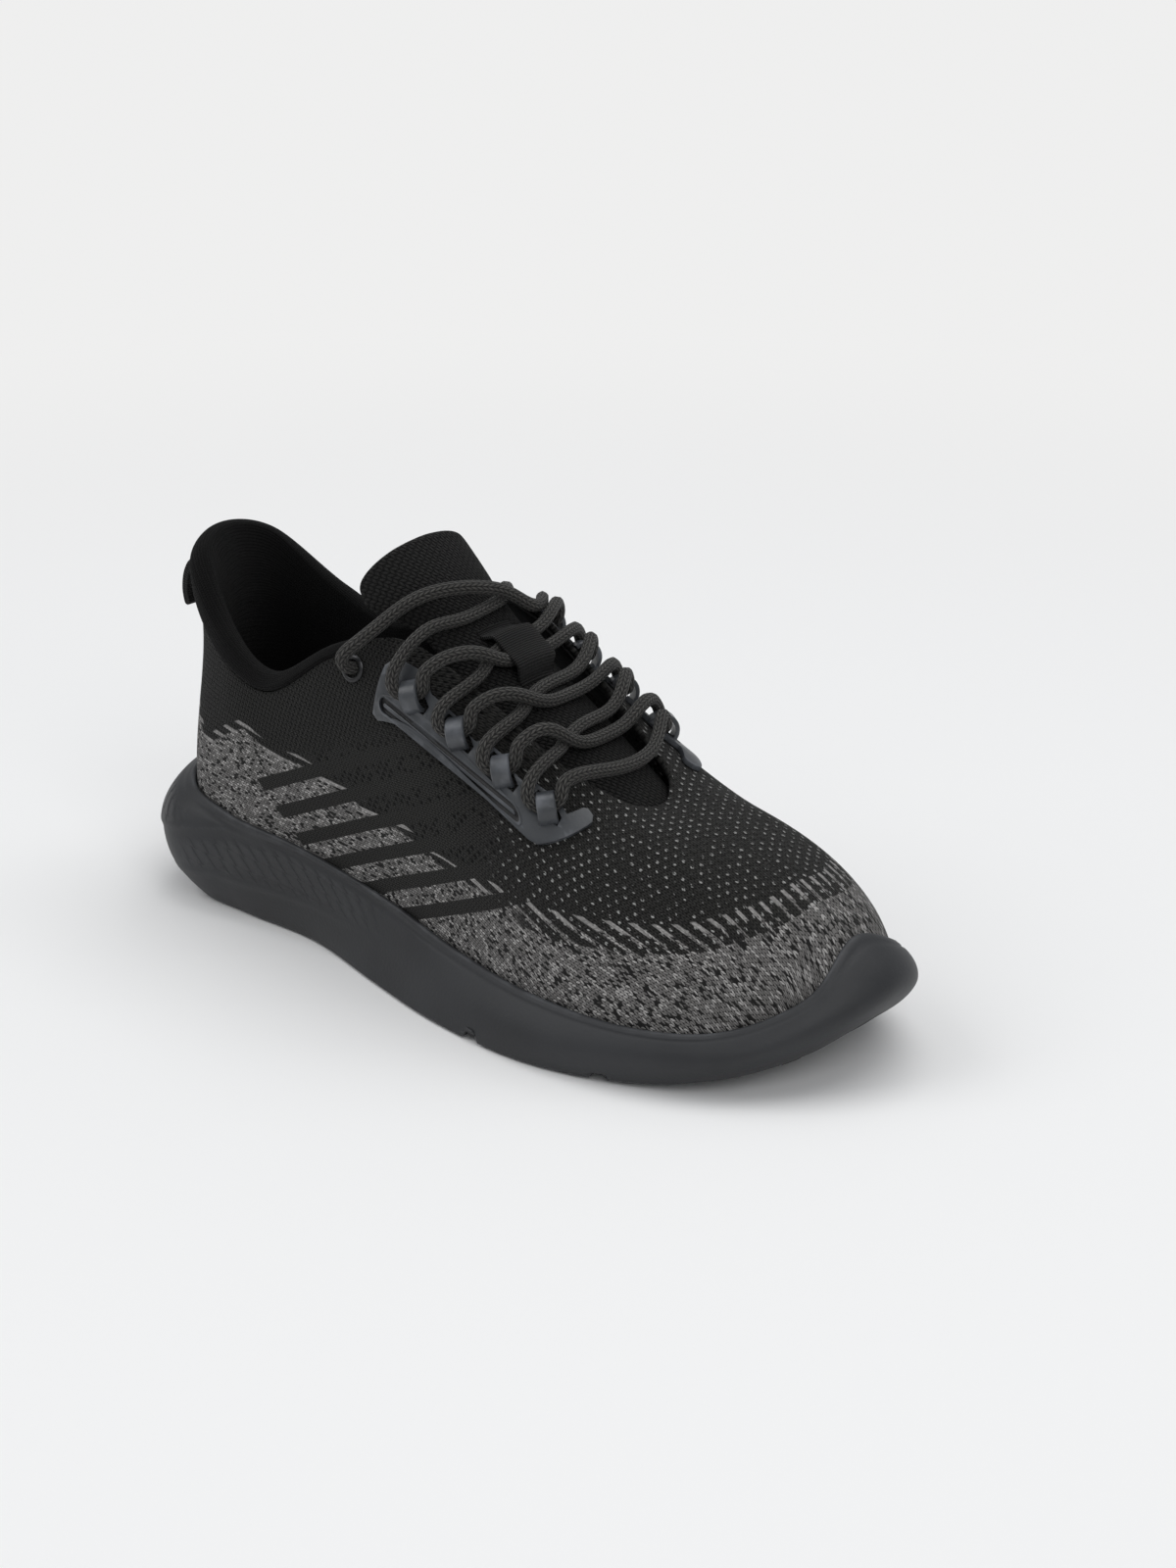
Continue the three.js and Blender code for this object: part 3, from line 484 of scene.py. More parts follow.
def makeKnitMaterial():
    material, tree, shader = newMaterial("knit", Sheen_Weight=0.04, Sheen_Roughness=0.5, Roughness=0.85,
                                         Specular_IOR_Level=0.12)
    place = patternPlace(tree)
    parts = wire(tree, "ShaderNodeSeparateXYZ", {0: place}).outputs
    zone, slant, barEdge, vamp = (attributeOf(tree, k) for k in ("zone", "slant", "barEdge", "vamp"))
    # the two yarn areas
    ragged = wire(tree, "ShaderNodeTexNoise", {"Vector": place, "Scale": 0.5, "Detail": 2}).outputs["Fac"]
    edge = plus(tree, zone, times(tree, calc(tree, "SUBTRACT", ragged, 0.5), 3))
    blackArea = ramp(tree, edge, -0.5, 0.5)
    # bars of black yarn that run down into the grey
    phase = calc(tree, "DIVIDE", calc(tree, "SUBTRACT", bars["first"], slant), bars["pitch"])
    inBar = calc(tree, "PINGPONG", calc(tree, "SUBTRACT", phase, bars["phase"]), 0.5)
    bar = invert(tree, ramp(tree, inBar, *bars["edge"]))
    bar = times(tree, bar, ramp(tree, phase, -0.1, -0.05), invert(tree, ramp(tree, phase, *bars["last"])),
                ramp(tree, barEdge, -0.5, 0.5))
    # fingers of pale yarn across the border
    comb = calc(tree, "PINGPONG", calc(tree, "DIVIDE", parts[1], fingers["pitch"]), 0.5)
    finger = invert(tree, ramp(tree, comb, *fingers["edge"]))
    above = times(tree, ramp(tree, zone, -1, 0), invert(tree, ramp(tree, zone, *fingers["up"])))
    below = times(tree, ramp(tree, zone, *fingers["down"]), invert(tree, ramp(tree, zone, 0, 1)))
    finger = times(tree, finger, invert(tree, bar))
    blackGap = times(tree, below, invert(tree, finger), vamp)
    black = calc(tree, "MAXIMUM", calc(tree, "MAXIMUM", blackArea, bar), blackGap)
    palePart = times(tree, above, finger)
    black = times(tree, black, invert(tree, palePart))
    # loops
    fine = group(tree, stitches, Place=place, Course=1.35, Wale=0.85, Slant=0.7)
    net = group(tree, holes, Place=place, Pitch=1.9, Row=1.7, Size=0.4)
    wide = group(tree, holes, Place=place, Pitch=2.7, Row=2.0, Size=0.46)
    coarse = group(tree, holes, Place=place, Pitch=3.2, Row=2.9, Size=0.46)
    clumps = wire(tree, "ShaderNodeTexNoise", {"Vector": place, "Scale": 0.22, "Detail": 3}).outputs["Fac"]
    clumping = times(tree, calc(tree, "SUBTRACT", clumps, 0.5), 0.4)
    choice = plus(tree, fine["Random"], clumping)
    greyYarn = mixColor(tree, ramp(tree, choice, 0.13, 0.2), knitLook["fleckAndShade"], knitLook["grey"])
    greyYarn = mixColor(tree, ramp(tree, choice, 0.6, 0.95), greyYarn, knitLook["pale"])
    # painted shade: the grey yarn is darkened with the fleck colour in the low places between its loops
    greyYarn = mixColor(tree, invert(tree, ramp(tree, fine["Height"], 0.2, 0.6)), greyYarn,
                        knitLook["fleckAndShade"])
    greyYarn = mixColor(tree, times(tree, palePart, 0.6), greyYarn, knitLook["pale"])
    # the vamp's pale dots sit between the big holes
    dotNet = group(tree, holes, Place=place, Pitch=3.2, Row=2.9, Size=0.25)
    speck = times(tree, dotNet["Hole"], ramp(tree, fine["Random"], 0.35, 0.45),
                  ramp(tree, fine["Height"], 0.25, 0.6), vamp)
    hole = times(tree, net["Hole"], invert(tree, vamp), invert(tree, bar), blackArea)
    # open bands between the bars' own lines, over the middle of the shoe
    band = times(tree, ramp(tree, inBar, 0.2, 0.26), attributeOf(tree, "midfoot"))
    openHole = times(tree, wide["Hole"], ramp(tree, wide["Random"], 0.3, 0.34), band, blackArea)
    hole = times(tree, hole, invert(tree, attributeOf(tree, "midfoot")))
    hole = calc(tree, "MAXIMUM", hole, openHole)
    # painted highlight: the black yarn turns lighter towards its loop crests and stays darker in the low
    # places between loops
    blackYarn = mixColor(tree, ramp(tree, fine["Height"], 0.1, 0.9), knitLook["black"], knitLook["lift"])
    # painted shade: the mesh holes, the open bands' holes too, are filled with near-black; their real sinking
    # is in the bump below
    blackYarn = mixColor(tree, hole, blackYarn, (0.002, 0.002, 0.002))
    blackYarn = mixColor(tree, times(tree, speck, 0.8), blackYarn, knitLook["dot"])
    color = mixColor(tree, black, greyYarn, blackYarn)
    tree.links.new(color, shader.inputs["Base Color"])
    coarseRelief = times(tree, coarse["Hole"], times(tree, vamp, blackArea))
    height = times(tree, fine["Height"], 0.35)
    height = calc(tree, "SUBTRACT", height, times(tree, hole, 1.0))
    height = plus(tree, height, times(tree, coarseRelief, 0.9))
    addBump(tree, shader, height, 0.0007)
    return material


def makeTongueKnit():
    material, tree, shader = newMaterial("tongueKnit", Sheen_Weight=0.04, Sheen_Roughness=0.5, Roughness=0.88,
                                         Specular_IOR_Level=0.12)
    place = patternPlace(tree)
    turned = wire(tree, "ShaderNodeMapping", {"Vector": place, "Rotation": (0, 0, 0.6)}).outputs[0]
    basket = group(tree, stitches, Place=turned, Course=2.1, Wale=1.25, Slant=0.5)
    yarn = group(tree, stitches, Place=place, Course=0.6, Wale=0.5, Slant=0.8)
    # painted highlight and shade: the raised basket loops take the lighter colour, the hollows between them
    # the darker
    raised = ramp(tree, basket["Height"], 0.25, 0.95)
    color = mixColor(tree, raised, (0.0012, 0.0012, 0.0012), (0.0155, 0.0152, 0.0144))
    tree.links.new(color, shader.inputs["Base Color"])
    height = plus(tree, basket["Height"], times(tree, yarn["Height"], 0.15))
    addBump(tree, shader, height, 0.0008)
    return material


def makeLiningMaterial():
    material, tree, shader = newMaterial("lining", Sheen_Weight=0.04, Sheen_Roughness=0.45, Roughness=0.9,
                                         Specular_IOR_Level=0.08)
    place = patternPlace(tree)
    loops = group(tree, stitches, Place=place, Course=1.0, Wale=0.8, Slant=0.7)
    cloud = group(tree, grain, Scale=300.0, Cloud=25.0)
    # partly painted: the lining is lighter on its loop crests (painted highlight) and also varies with a slow
    # random cloud (real tone)
    tone = plus(tree, times(tree, loops["Height"], 0.7), times(tree, cloud[1], 0.4))
    color = mixColor(tree, ramp(tree, tone, 0.2, 1.0), (0.0012, 0.0012, 0.0012), (0.0052, 0.0051, 0.005))
    tree.links.new(color, shader.inputs["Base Color"])
    addBump(tree, shader, loops["Height"], 0.0003)
    return material


def makeFoamMaterial(name, dark, light):
    material, tree, shader = newMaterial(name, Roughness=0.5, Specular_IOR_Level=0.38)
    look = group(tree, grain, Scale=900.0, Cloud=18.0)
    color = mixColor(tree, ramp(tree, look["Cloudiness"], 0.35, 0.7), dark, light)
    scuff = group(tree, wear, Amount=0.35)
    color = mixColor(tree, scuff[0], color, (0.12, 0.125, 0.135))
    tree.links.new(color, shader.inputs["Base Color"])
    rough = plus(tree, times(tree, look["Cloudiness"], 0.25), 0.38)
    tree.links.new(rough, shader.inputs["Roughness"])
    return material, tree, shader, look


def makeSoleMaterial():
    tones = (0.0165, 0.0172, 0.019), (0.027, 0.0282, 0.031)
    material, tree, shader, look = makeFoamMaterial("soleFoam", *tones)
    place = patternPlace(tree)
    panel = attributeOf(tree, "panel")
    parts = wire(tree, "ShaderNodeSeparateXYZ", {0: place}).outputs
    # rows of short slanted strokes pressed into the heel panel
    rowPlace = calc(tree, "DIVIDE", parts[1], 5.5)
    row = calc(tree, "FLOORED_MODULO", calc(tree, "FLOOR", rowPlace), 2)
    across = plus(tree, calc(tree, "DIVIDE", parts[0], 6.5), times(tree, row, 0.5))
    lean = plus(tree, across, times(tree, calc(tree, "FRACT", rowPlace), 0.75))
    tooth = calc(tree, "FRACT", lean)
    mark = times(tree, ramp(tree, tooth, 0.0, 0.75), invert(tree, ramp(tree, tooth, 0.8, 0.95)))
    mark = times(tree, mark, panel)
    height = plus(tree, mark, times(tree, look["Grain"], 0.12))
    addBump(tree, shader, height, 0.0007)
    return material


def makeRubberMaterial():
    tones = (0.012, 0.0122, 0.013), (0.02, 0.0205, 0.022)
    material, tree, shader, look = makeFoamMaterial("outsoleRubber", *tones)
    addBump(tree, shader, look["Grain"], 0.00015)
    return material


def makePlateMaterial():
    material, tree, shader = newMaterial("plate", Roughness=0.36, Specular_IOR_Level=0.5, Coat_Roughness=0.35)
    look = group(tree, grain, Scale=1400.0, Cloud=30.0)
    cloudy = ramp(tree, look["Cloudiness"], 0.35, 0.7)
    color = mixColor(tree, cloudy, (0.034, 0.037, 0.0415), (0.05, 0.0545, 0.0605))
    color = mixColor(tree, group(tree, wear, Amount=0.5)[0], color, (0.16, 0.17, 0.19))
    # painted shade: the faces inside the track's groove are painted near-black
    color = mixColor(tree, attributeOf(tree, "groove"), color, (0.004, 0.004, 0.0045))
    tree.links.new(color, shader.inputs["Base Color"])
    rough = plus(tree, times(tree, look["Cloudiness"], 0.16), 0.28)
    tree.links.new(rough, shader.inputs["Roughness"])
    addBump(tree, shader, look["Grain"], 0.00006)
    return material


def makeEyeletMaterial():
    material, tree, shader = newMaterial("eyelet", Metallic=0.4, Roughness=0.3)
    look = group(tree, grain, Scale=1200.0, Cloud=60.0)
    color = mixColor(tree, look["Cloudiness"], (0.012, 0.012, 0.013), (0.022, 0.022, 0.024))
    color = mixColor(tree, group(tree, wear, Amount=0.6)[0], color, (0.2, 0.2, 0.21))
    tree.links.new(color, shader.inputs["Base Color"])
    rough = plus(tree, times(tree, look["Grain"], 0.15), 0.22)
    tree.links.new(rough, shader.inputs["Roughness"])
    return material


def makeLaceMaterial():  # a braided cover: yarn bundles crossing in both directions round the cord
    material, tree, shader = newMaterial("lace", Sheen_Weight=0.08, Sheen_Roughness=0.4, Roughness=0.75,
                                         Specular_IOR_Level=0.25)
    place = patternPlace(tree)
    braid = group(tree, stitches, Place=place, Course=1.9, Wale=1.15, Slant=1.0)
    yarn = group(tree, stitches, Place=place, Course=0.35, Wale=0.3, Slant=0.0)
    # painted highlight and shade: the braid's raised bundles take the light colour, its grooves the
    # near-black
    raised = ramp(tree, braid["Height"], 0.28, 0.98)
    color = mixColor(tree, raised, (0.001, 0.001, 0.0009), (0.078, 0.075, 0.0695))
    color = mixColor(tree, times(tree, braid["Random"], 0.35), color, (0.022, 0.0212, 0.0195))
    tree.links.new(color, shader.inputs["Base Color"])
    height = plus(tree, braid["Height"], times(tree, yarn["Height"], 0.12))
    addBump(tree, shader, height, 0.00055)
    return material


def makeTapeMaterial():  # woven tape with ribs across it
    material, tree, shader = newMaterial("tape", Sheen_Weight=0.05, Sheen_Roughness=0.4, Roughness=0.78,
                                         Specular_IOR_Level=0.2)
    place = patternPlace(tree)
    parts = wire(tree, "ShaderNodeSeparateXYZ", {0: place}).outputs
    rib = times(tree, calc(tree, "PINGPONG", parts[0], 0.45), 1 / 0.45)
    weft = times(tree, calc(tree, "PINGPONG", parts[1], 0.3), 1 / 0.3)
    height = plus(tree, rib, times(tree, weft, 0.3))
    # painted highlight and shade: the tape is lighter on its ribs and darker in the hollows between them
    color = mixColor(tree, ramp(tree, height, 0.1, 1.1), (0.0018, 0.0018, 0.0018), (0.013, 0.0127, 0.0122))
    tree.links.new(color, shader.inputs["Base Color"])
    addBump(tree, shader, height, 0.0004)
    return material


def makeBoardMaterial(name, dark, light):  # felted board and stiffeners inside the shoe
    material, tree, shader = newMaterial(name, Roughness=0.9)
    look = group(tree, grain, Scale=500.0, Cloud=60.0)
    color = mixColor(tree, look["Grain"], dark, light)
    tree.links.new(color, shader.inputs["Base Color"])
    addBump(tree, shader, look["Grain"], 0.0002)
    return material


looks = {
    "knit": makeKnitMaterial(),
    "tongueKnit": makeTongueKnit(),
    "lining": makeLiningMaterial(),
    "sole": makeSoleMaterial(),
    "rubber": makeRubberMaterial(),
    "plate": makePlateMaterial(),
    "eyelet": makeEyeletMaterial(),
    "lace": makeLaceMaterial(),
    "tape": makeTapeMaterial(),
    "board": makeBoardMaterial("board", (0.012, 0.0115, 0.011), (0.03, 0.029, 0.028)),
    "stiffener": makeBoardMaterial("stiffener", (0.3, 0.27, 0.22), (0.46, 0.42, 0.36)),
    "darkCloth": makeBoardMaterial("darkCloth", (0.008, 0.008, 0.008), (0.02, 0.02, 0.02)),
}
print("materials made")

# ---- Tongue shape, which the lace lies on ----
tongue = {"radius": 34, "thick": 4.8, "along": 110, "round": 48, "frontRaise": 3.2,
          "backPattern": 60}
tongueLine = np.array([(66, 14, 55), (50, 17, 70), (28, 20, 88), (2, 21, 105),
                       (-18, 22, 121), (-26, 27, 129), (-33, 28, 136), (-38, 16, 141)], float)


def tonguePoint(t, angle, lift):  # t up the tongue, angle across it in radians
    t, angle, lift = np.broadcast_arrays(*(np.asarray(x, float) for x in (t, angle, lift)))
    p = threadCurve(tongueLine, t)
    ahead, behind = np.minimum(1, t + 0.01), np.maximum(0, t - 0.01)
    along = unit((threadCurve(tongueLine, ahead) - threadCurve(tongueLine, behind)) * (1, 0, 1))
    reach = tongue["radius"]
    zero = 0 * angle
    centre = np.stack([p[..., 0] - along[..., 2] * reach, zero, p[..., 2] + along[..., 0] * reach], -1)
    radial = np.stack([along[..., 2] * np.cos(angle), np.sin(angle), -along[..., 0] * np.cos(angle)], -1)
    return centre + radial * (reach + lift)[..., None]


def tongueHalf(t):  # half the tongue's width at t
    return threadCurve(tongueLine, np.asarray(t, float))[..., 1]


def overTongue(x, y, lift):  # the point over the tongue at this x and y
    low, high = 0.0, 1.0
    angle = math.asin(y / (tongue["radius"] + lift))
    for _ in range(30):
        middle = (low + high) / 2
        if tonguePoint(middle, angle, lift)[0] > x:
            low = middle
        else:
            high = middle
    return tonguePoint(low, angle, lift)


# ---- Lace ----
plates = {
    "lateral": {"bridges": [(5.25, 0.79), (5.8, 0.785), (6.36, 0.79), (6.93, 0.8)], "eyelet": (4.35, 0.88),
                "start": 5.25, "perStation": 36, "raise": 0},
    "medial": {"bridges": [(13.85, 0.83), (13.38, 0.82), (12.93, 0.82), (12.53, 0.82)],
               "eyelet": (14.65, 0.88), "start": 13.85, "perStation": -45, "raise": 0.025},
}
lace = {"diameter": 4.4, "step": 0.85, "sides": 16, "flat": 0.93, "easeNear": 2.6, "easeFar": 5.5}
# under a bridge, from its heel side to its toe side: along the shoe, towards the throat, off the skin
underBridge = [(-5.6, 6.5, 7.3), (-5.7, 2.4, 5), (-3.4, 0.2, 2.8), (0, 0, 2.7),
               (3.4, 0.2, 2.8), (5.7, 2.4, 5), (5.6, 6.5, 7.3)]
# the two runs between one pair of bridges and the next, from the outer side to the inner
upperRun = [(-0.6, -20, 9.5), (0.8, -16, 7.3), (2.2, -12.5, 4.9), (2.7, -8, 2.9),
            (2.7, 5, 2.8), (2.7, 13, 4.4), (3.2, 19, 8)]
lowerRun = [(1.8, -20, 4.9), (-0.8, -16, 2.8), (-2.2, -12.5, 2.7), (-2.7, -8, 2.7),
            (-2.7, 5, 2.8), (-2.7, 13, 4.4), (-3.2, 19, 8)]
middles = [0.3, 16, 31]
edgeRise = [0.9, 1.4, 3]
bottomBar = [(44, 16, 8.5), (46, 7, 6), (46, -4, 5.5), (44, -16, 8.5)]
topRun = {
    "lateral": [(-9, 23, 9.5), (-6.5, 17, 7), (-10.5, 8.5, 8), (-13, 0, 7.6),
                (-18, -9, 6), (-26, -20, 3.4), (-34, -31, 2.4)],
    "medial": [(-16, -22, 7), (-14.5, -16, 3.5), (-13, -8, 2.7), (-13, 1, 2.7),
               (-15, 11, 2.9), (-22, 21, 3), (-33, 31, 2.4)],
}
intoEyelet = [(0, 3, 7), (0, 0.3, 3.6), (0, 0, 0), (0, 0, -4)]
tail = [(4, 0.8), (8, 0.74), (14, 0.66), (22, 0.58), (31, 0.5), (40, 0.45)]


def bridgeRun(side, k):
    origin, axes = skinAxes(plates[side]["bridges"][k])
    toward = 1 if axes[0][0] > 0 else -1
    return [origin + np.array((x * toward, y, z)) @ axes for x, y, z in underBridge]


def runAt(run, k):
    return [overTongue(middles[k] + x, y, z + (edgeRise[k] if abs(y) > 18 else 0)) for x, y, z in run]


def eyeletRun(side):
    spot = plates[side]["eyelet"]
    origin, axes = skinAxes(spot)
    entry = [origin + np.array(p, float) @ axes for p in intoEyelet]
    sign = 1 if side == "lateral" else -1
    return entry + [onSkin(spot[0] + sign * mm / 36, v, -9) for mm, v in tail]


def laceRoute():
    over = {side: [overTongue(*p) for p in topRun[side]] for side in topRun}
    route = (over["medial"] + eyeletRun("medial"))[::-1]
    route += bridgeRun("lateral", 0) + runAt(upperRun, 0) + bridgeRun("medial", 1)
    route += runAt(lowerRun, 1)[::-1] + bridgeRun("lateral", 2) + runAt(upperRun, 2) + bridgeRun("medial", 3)
    route += [overTongue(*p) for p in bottomBar] + bridgeRun("lateral", 3)[::-1] + runAt(lowerRun, 2)
    route += bridgeRun("medial", 2)[::-1] + runAt(upperRun, 1)[::-1] + bridgeRun("lateral", 1)[::-1]
    route += runAt(lowerRun, 0) + bridgeRun("medial", 0)[::-1] + over["lateral"] + eyeletRun("lateral")
    return np.array(route)


def evenSteps(line, step):  # the same line with points a step apart
    lengths = runLength(line)
    count = int(round(lengths[-1] / step))
    marks = np.linspace(0, lengths[-1], count + 1)
    return np.stack([np.interp(marks, lengths, line[:, k]) for k in range(3)], -1), lengths[-1]


def carriedFrames(line):  # side and up vectors carried along the line without twist
    tangents = unit(np.gradient(line, axis=0))
    ups = np.zeros_like(line)
    up = np.cross(tangents[0], (0.0, 1.0, 0.0))
    for i, tangent in enumerate(tangents):
        up = unit(up - tangent * np.dot(up, tangent))
        ups[i] = up
    return np.cross(tangents, ups), ups


def softened(line, ease, step):
    reach = round(3 * ease / step)
    weights = np.exp(-0.5 * (np.arange(-reach, reach + 1) * step / ease) ** 2)
    weights /= weights.sum()
    padded = np.concatenate([line[:1].repeat(reach, 0), line, line[-1:].repeat(reach, 0)])
    return np.stack([np.convolve(padded[:, k], weights, "valid") for k in range(3)], -1)


def easeLine(line):  # rounds the bends, more between the bridges than near a bridge or an eyelet
    step = 0.5
    line, _ = evenSteps(line, step)
    spots = [spot for side in plates.values() for spot in (*side["bridges"], side["eyelet"])]
    held = np.array([skinAxes(spot)[0] for spot in spots])
    far = np.linalg.norm(line[:, None] - held[None], axis=2).min(1)
    share = smooth(far, 7, 15)[:, None]
    near, wide = softened(line, lace["easeNear"], step), softened(line, lace["easeFar"], step)
    return near * (1 - share) + wide * share


def makeLace():
    route = laceRoute()
    fine = threadCurve(route, np.linspace(0, 1, 16 * len(route)))
    line, length = evenSteps(easeLine(fine), lace["step"])
    sideways, ups = carriedFrames(line)
    count = len(line) - 1
    radius = lace["diameter"] / 2

    def shape(p, q):
        i = np.round(p * count).astype(int)
        angle = 2 * np.pi * q[:, None]
        ridge = 1 + 0.045 * np.cos(6 * angle)
        spoke = sideways[i] * np.cos(angle) + ups[i] * np.sin(angle) * lace["flat"]
        return line[i] + spoke * radius * ridge

    bm = gridMesh(count, lace["sides"], shape, uv=lambda p, q: (p * length, q * 2 * np.pi * radius))
    closeEnds(bm)
    piece = finishPiece("laceCord", bm, looks["lace"], "shoe")
    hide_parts("lace")
    path = toFrame(line[::3])
    print("lace", round(length), "mm")


makeLace()
print("lace made")


# ---- Sole ----
sole = {"around": 456, "wall": 40, "lipWidth": 2.3, "gap": 0.35, "grooves": (28, 76), "grooveWidth": 2.5,
        "grooveDepth": 3}
creaseLine = [(-1, 0.45), (0, 0.4), (0.7, 0.46), (1.5, 0.68), (2.1, 0.86), (2.7, 0.93), (4.2, 0.99), (5, 1.1)]
lowerLine = [(-1, 0.1), (0, 0.12), (0.9, 0.18), (1.8, 0.36), (2.4, 0.41), (3.4, 0.5), (4.5, 0.6)]


def mirrored(s):
    share = (stationCount - toeStation) / toeStation
    return np.where(s <= toeStation, stationCount - s * share, (stationCount - s) / share)


def sideStation(s):  # how far from the heel, in the outer side's stations
    return np.where(s <= toeStation, s, (stationCount - s) * toeStation / (stationCount - toeStation))


def lipPlace(s):  # how far up the upper's section the sole's lip reaches
    low, high = np.zeros_like(s), np.full_like(s, 0.9)
    goal = column("lip", s)[:, 1] - 0.5
    for _ in range(16):
        middle = (low + high) / 2
        under = onSkin(s, middle, 1.0)[:, 2] < goal
        low, high = np.where(under, middle, low), np.where(under, high, middle)
    return low


def soleWall(s, t):
    out = outward(s)
    feather = column("feather", s)

    def edge(key):
        value = column(key, s)
        point = feather + out * value[:, :1]
        point[:, 2] = np.maximum(value[:, 1], fit["foamLift"])
        return point

    low, middle, high = edge("ground"), edge("bulge"), edge("lip")
    reach = 2 * middle - 0.5 * (low + high)
    t = t[:, None]
    return (1 - t) ** 2 * low + 2 * t * (1 - t) * reach + t * t * high


def soleRelief(s, t):  # how far the wall stands out of its plain shape
    fromHeel = sideStation(s)
    crease = np.interp(fromHeel, *zip(*creaseLine))
    lower = np.interp(fromHeel, *zip(*lowerLine))
    height = 40.0
    at = (t - crease) * height
    fade = 1 - smooth(fromHeel, 3.6, 4.6)
    relief = -0.8 * np.exp(-(at / 0.9) ** 2) * fade
    relief -= 0.8 * smooth(-at, 0, 1.5) * (1 - smooth(-at, 3, 16)) * fade
    at = (t - lower) * height
    relief += 0.5 * np.exp(-(at / 1.6) ** 2) * smooth(fromHeel, 0.8, 1.5) * (1 - smooth(fromHeel, 2.8, 4))
    relief -= 0.55 * np.exp(-((t - 0.93) * height / 0.7) ** 2)
    return relief


def panelMask(s, t):
    fromHeel = sideStation(s)
    crease = np.interp(fromHeel, *zip(*creaseLine))
    lower = np.interp(fromHeel, *zip(*lowerLine))
    side = smooth(t, lower + 0.03, lower + 0.12) * (1 - smooth(t, crease - 0.12, crease - 0.04))
    side *= smooth(fromHeel, 1.3, 1.7) * (1 - smooth(fromHeel, 3.3, 4.1))
    rear = smooth(t, crease + 0.06, crease + 0.12) * (1 - smooth(t, 0.8, 0.88))
    rear *= 1 - smooth(fromHeel, 1.0, 1.5)
    return np.maximum(side, rear)


def makeMidsole():
    inner, rim, wall, under = 6, 3, sole["wall"], 10
    rows = inner + rim + wall + under
    arcs = np.linspace(0, stationCount, 400)
    girth = runLength(soleWall(arcs, 0 * arcs + 0.5))

    def wallAt(s, t, lip):
        point = soleWall(s, t)
        top = onSkin(s, lip, sole["lipWidth"])
        point += (top - soleWall(s, 0 * s + 1)) * smooth(t, 0.45, 1)[:, None]
        point += outward(s) * soleRelief(s, t)[:, None]
        near = 1 - smooth(t, 0.05, 0.12)
        for x in sole["grooves"]:
            inside = 1 - smooth(np.abs(point[:, 0] - x), sole["grooveWidth"] - 0.6, sole["grooveWidth"])
            point[:, 2] += sole["grooveDepth"] * near * inside
        return point

    def shape(p, q):
        s = stationAt(p)
        k = np.round(q * rows)
        lip = lipPlace(s)
        feather = column("feather", s) - (0, 0, sole["gap"])
        deck = (feather + column("feather", mirrored(s)) - (0, 0, sole["gap"])) / 2
        ground = wallAt(s, 0 * s, lip)
        groundMiddle = (ground + wallAt(mirrored(s), 0 * s, lipPlace(mirrored(s)))) / 2
        up = np.clip((k - 1) / (inner - 1), 0, 1)
        inside = onSkin(s, lip * up, sole["gap"])
        inside[:, 2] -= sole["gap"] * (1 - up)
        turn = np.clip((k - inner) / rim, 0, 1) * np.pi
        lift = sole["gap"] + (sole["lipWidth"] - sole["gap"]) * (1 - np.cos(turn)) / 2
        bead = onSkin(s, lip + 0.009 * np.sin(turn), lift)
        t = 1 - np.clip((k - inner - rim) / wall, 0, 1)
        outside = wallAt(s, t, lip)
        back = np.clip((k - inner - rim - wall) / under, 0, 1)[:, None]
        bottom = ground * (1 - back) + groundMiddle * back
        point = np.where((k < 1)[:, None], deck, inside)
        point = np.where((k > inner)[:, None], bead, point)
        point = np.where((k > inner + rim)[:, None], outside, point)
        return np.where((k > inner + rim + wall)[:, None], bottom, point)

    def place(p, q):
        s = stationAt(p)
        k = np.round(q * rows)
        return np.interp(s, arcs, girth), (1 - (k - inner - rim) / wall) * 40

    def values(p, q):
        s = stationAt(p)
        t = 1 - (np.round(q * rows) - inner - rim) / wall
        return {"panel": panelMask(s, np.clip(t, 0, 1)) * (t >= 0) * (t <= 1)}

    bm = gridMesh(sole["around"], rows, shape, uv=place, values=values)
    bmesh.ops.dissolve_degenerate(bm, edges=bm.edges, dist=1e-6)
    bmesh.ops.recalc_face_normals(bm, faces=bm.faces)
    piece = finishPiece("midsoleFoam", bm, looks["sole"], "shoe")
    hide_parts("midsole")


makeMidsole()
print("midsole made")

# ---- Outsole pads ----
pads = {
    "outsole_heel_lateral": ((0.7, 3.1), (0.05, 0.42)),
    "outsole_heel_medial": ((0.7, 3.1), (0.58, 0.95)),
    "outsole_shank_lateral": ((3.9, 5.15), (0.05, 0.34)),
    "outsole_ball_lateral": ((5.45, 6.7), (0.05, 0.47)),
    "outsole_ball_medial": ((5.45, 6.7), (0.53, 0.95)),
    "outsole_toe": ((7, 8.7), (0.07, 0.93)),
}
tread = {"lug": 6.0, "depth": 0.7, "base": 1.3, "inset": 0.0006}


def groundPoint(s):
    value = column("ground", s)
    point = column("feather", s) + outward(s) * value[:, :1]
    point[:, 2] = np.maximum(value[:, 1], fit["foamLift"])
    return point


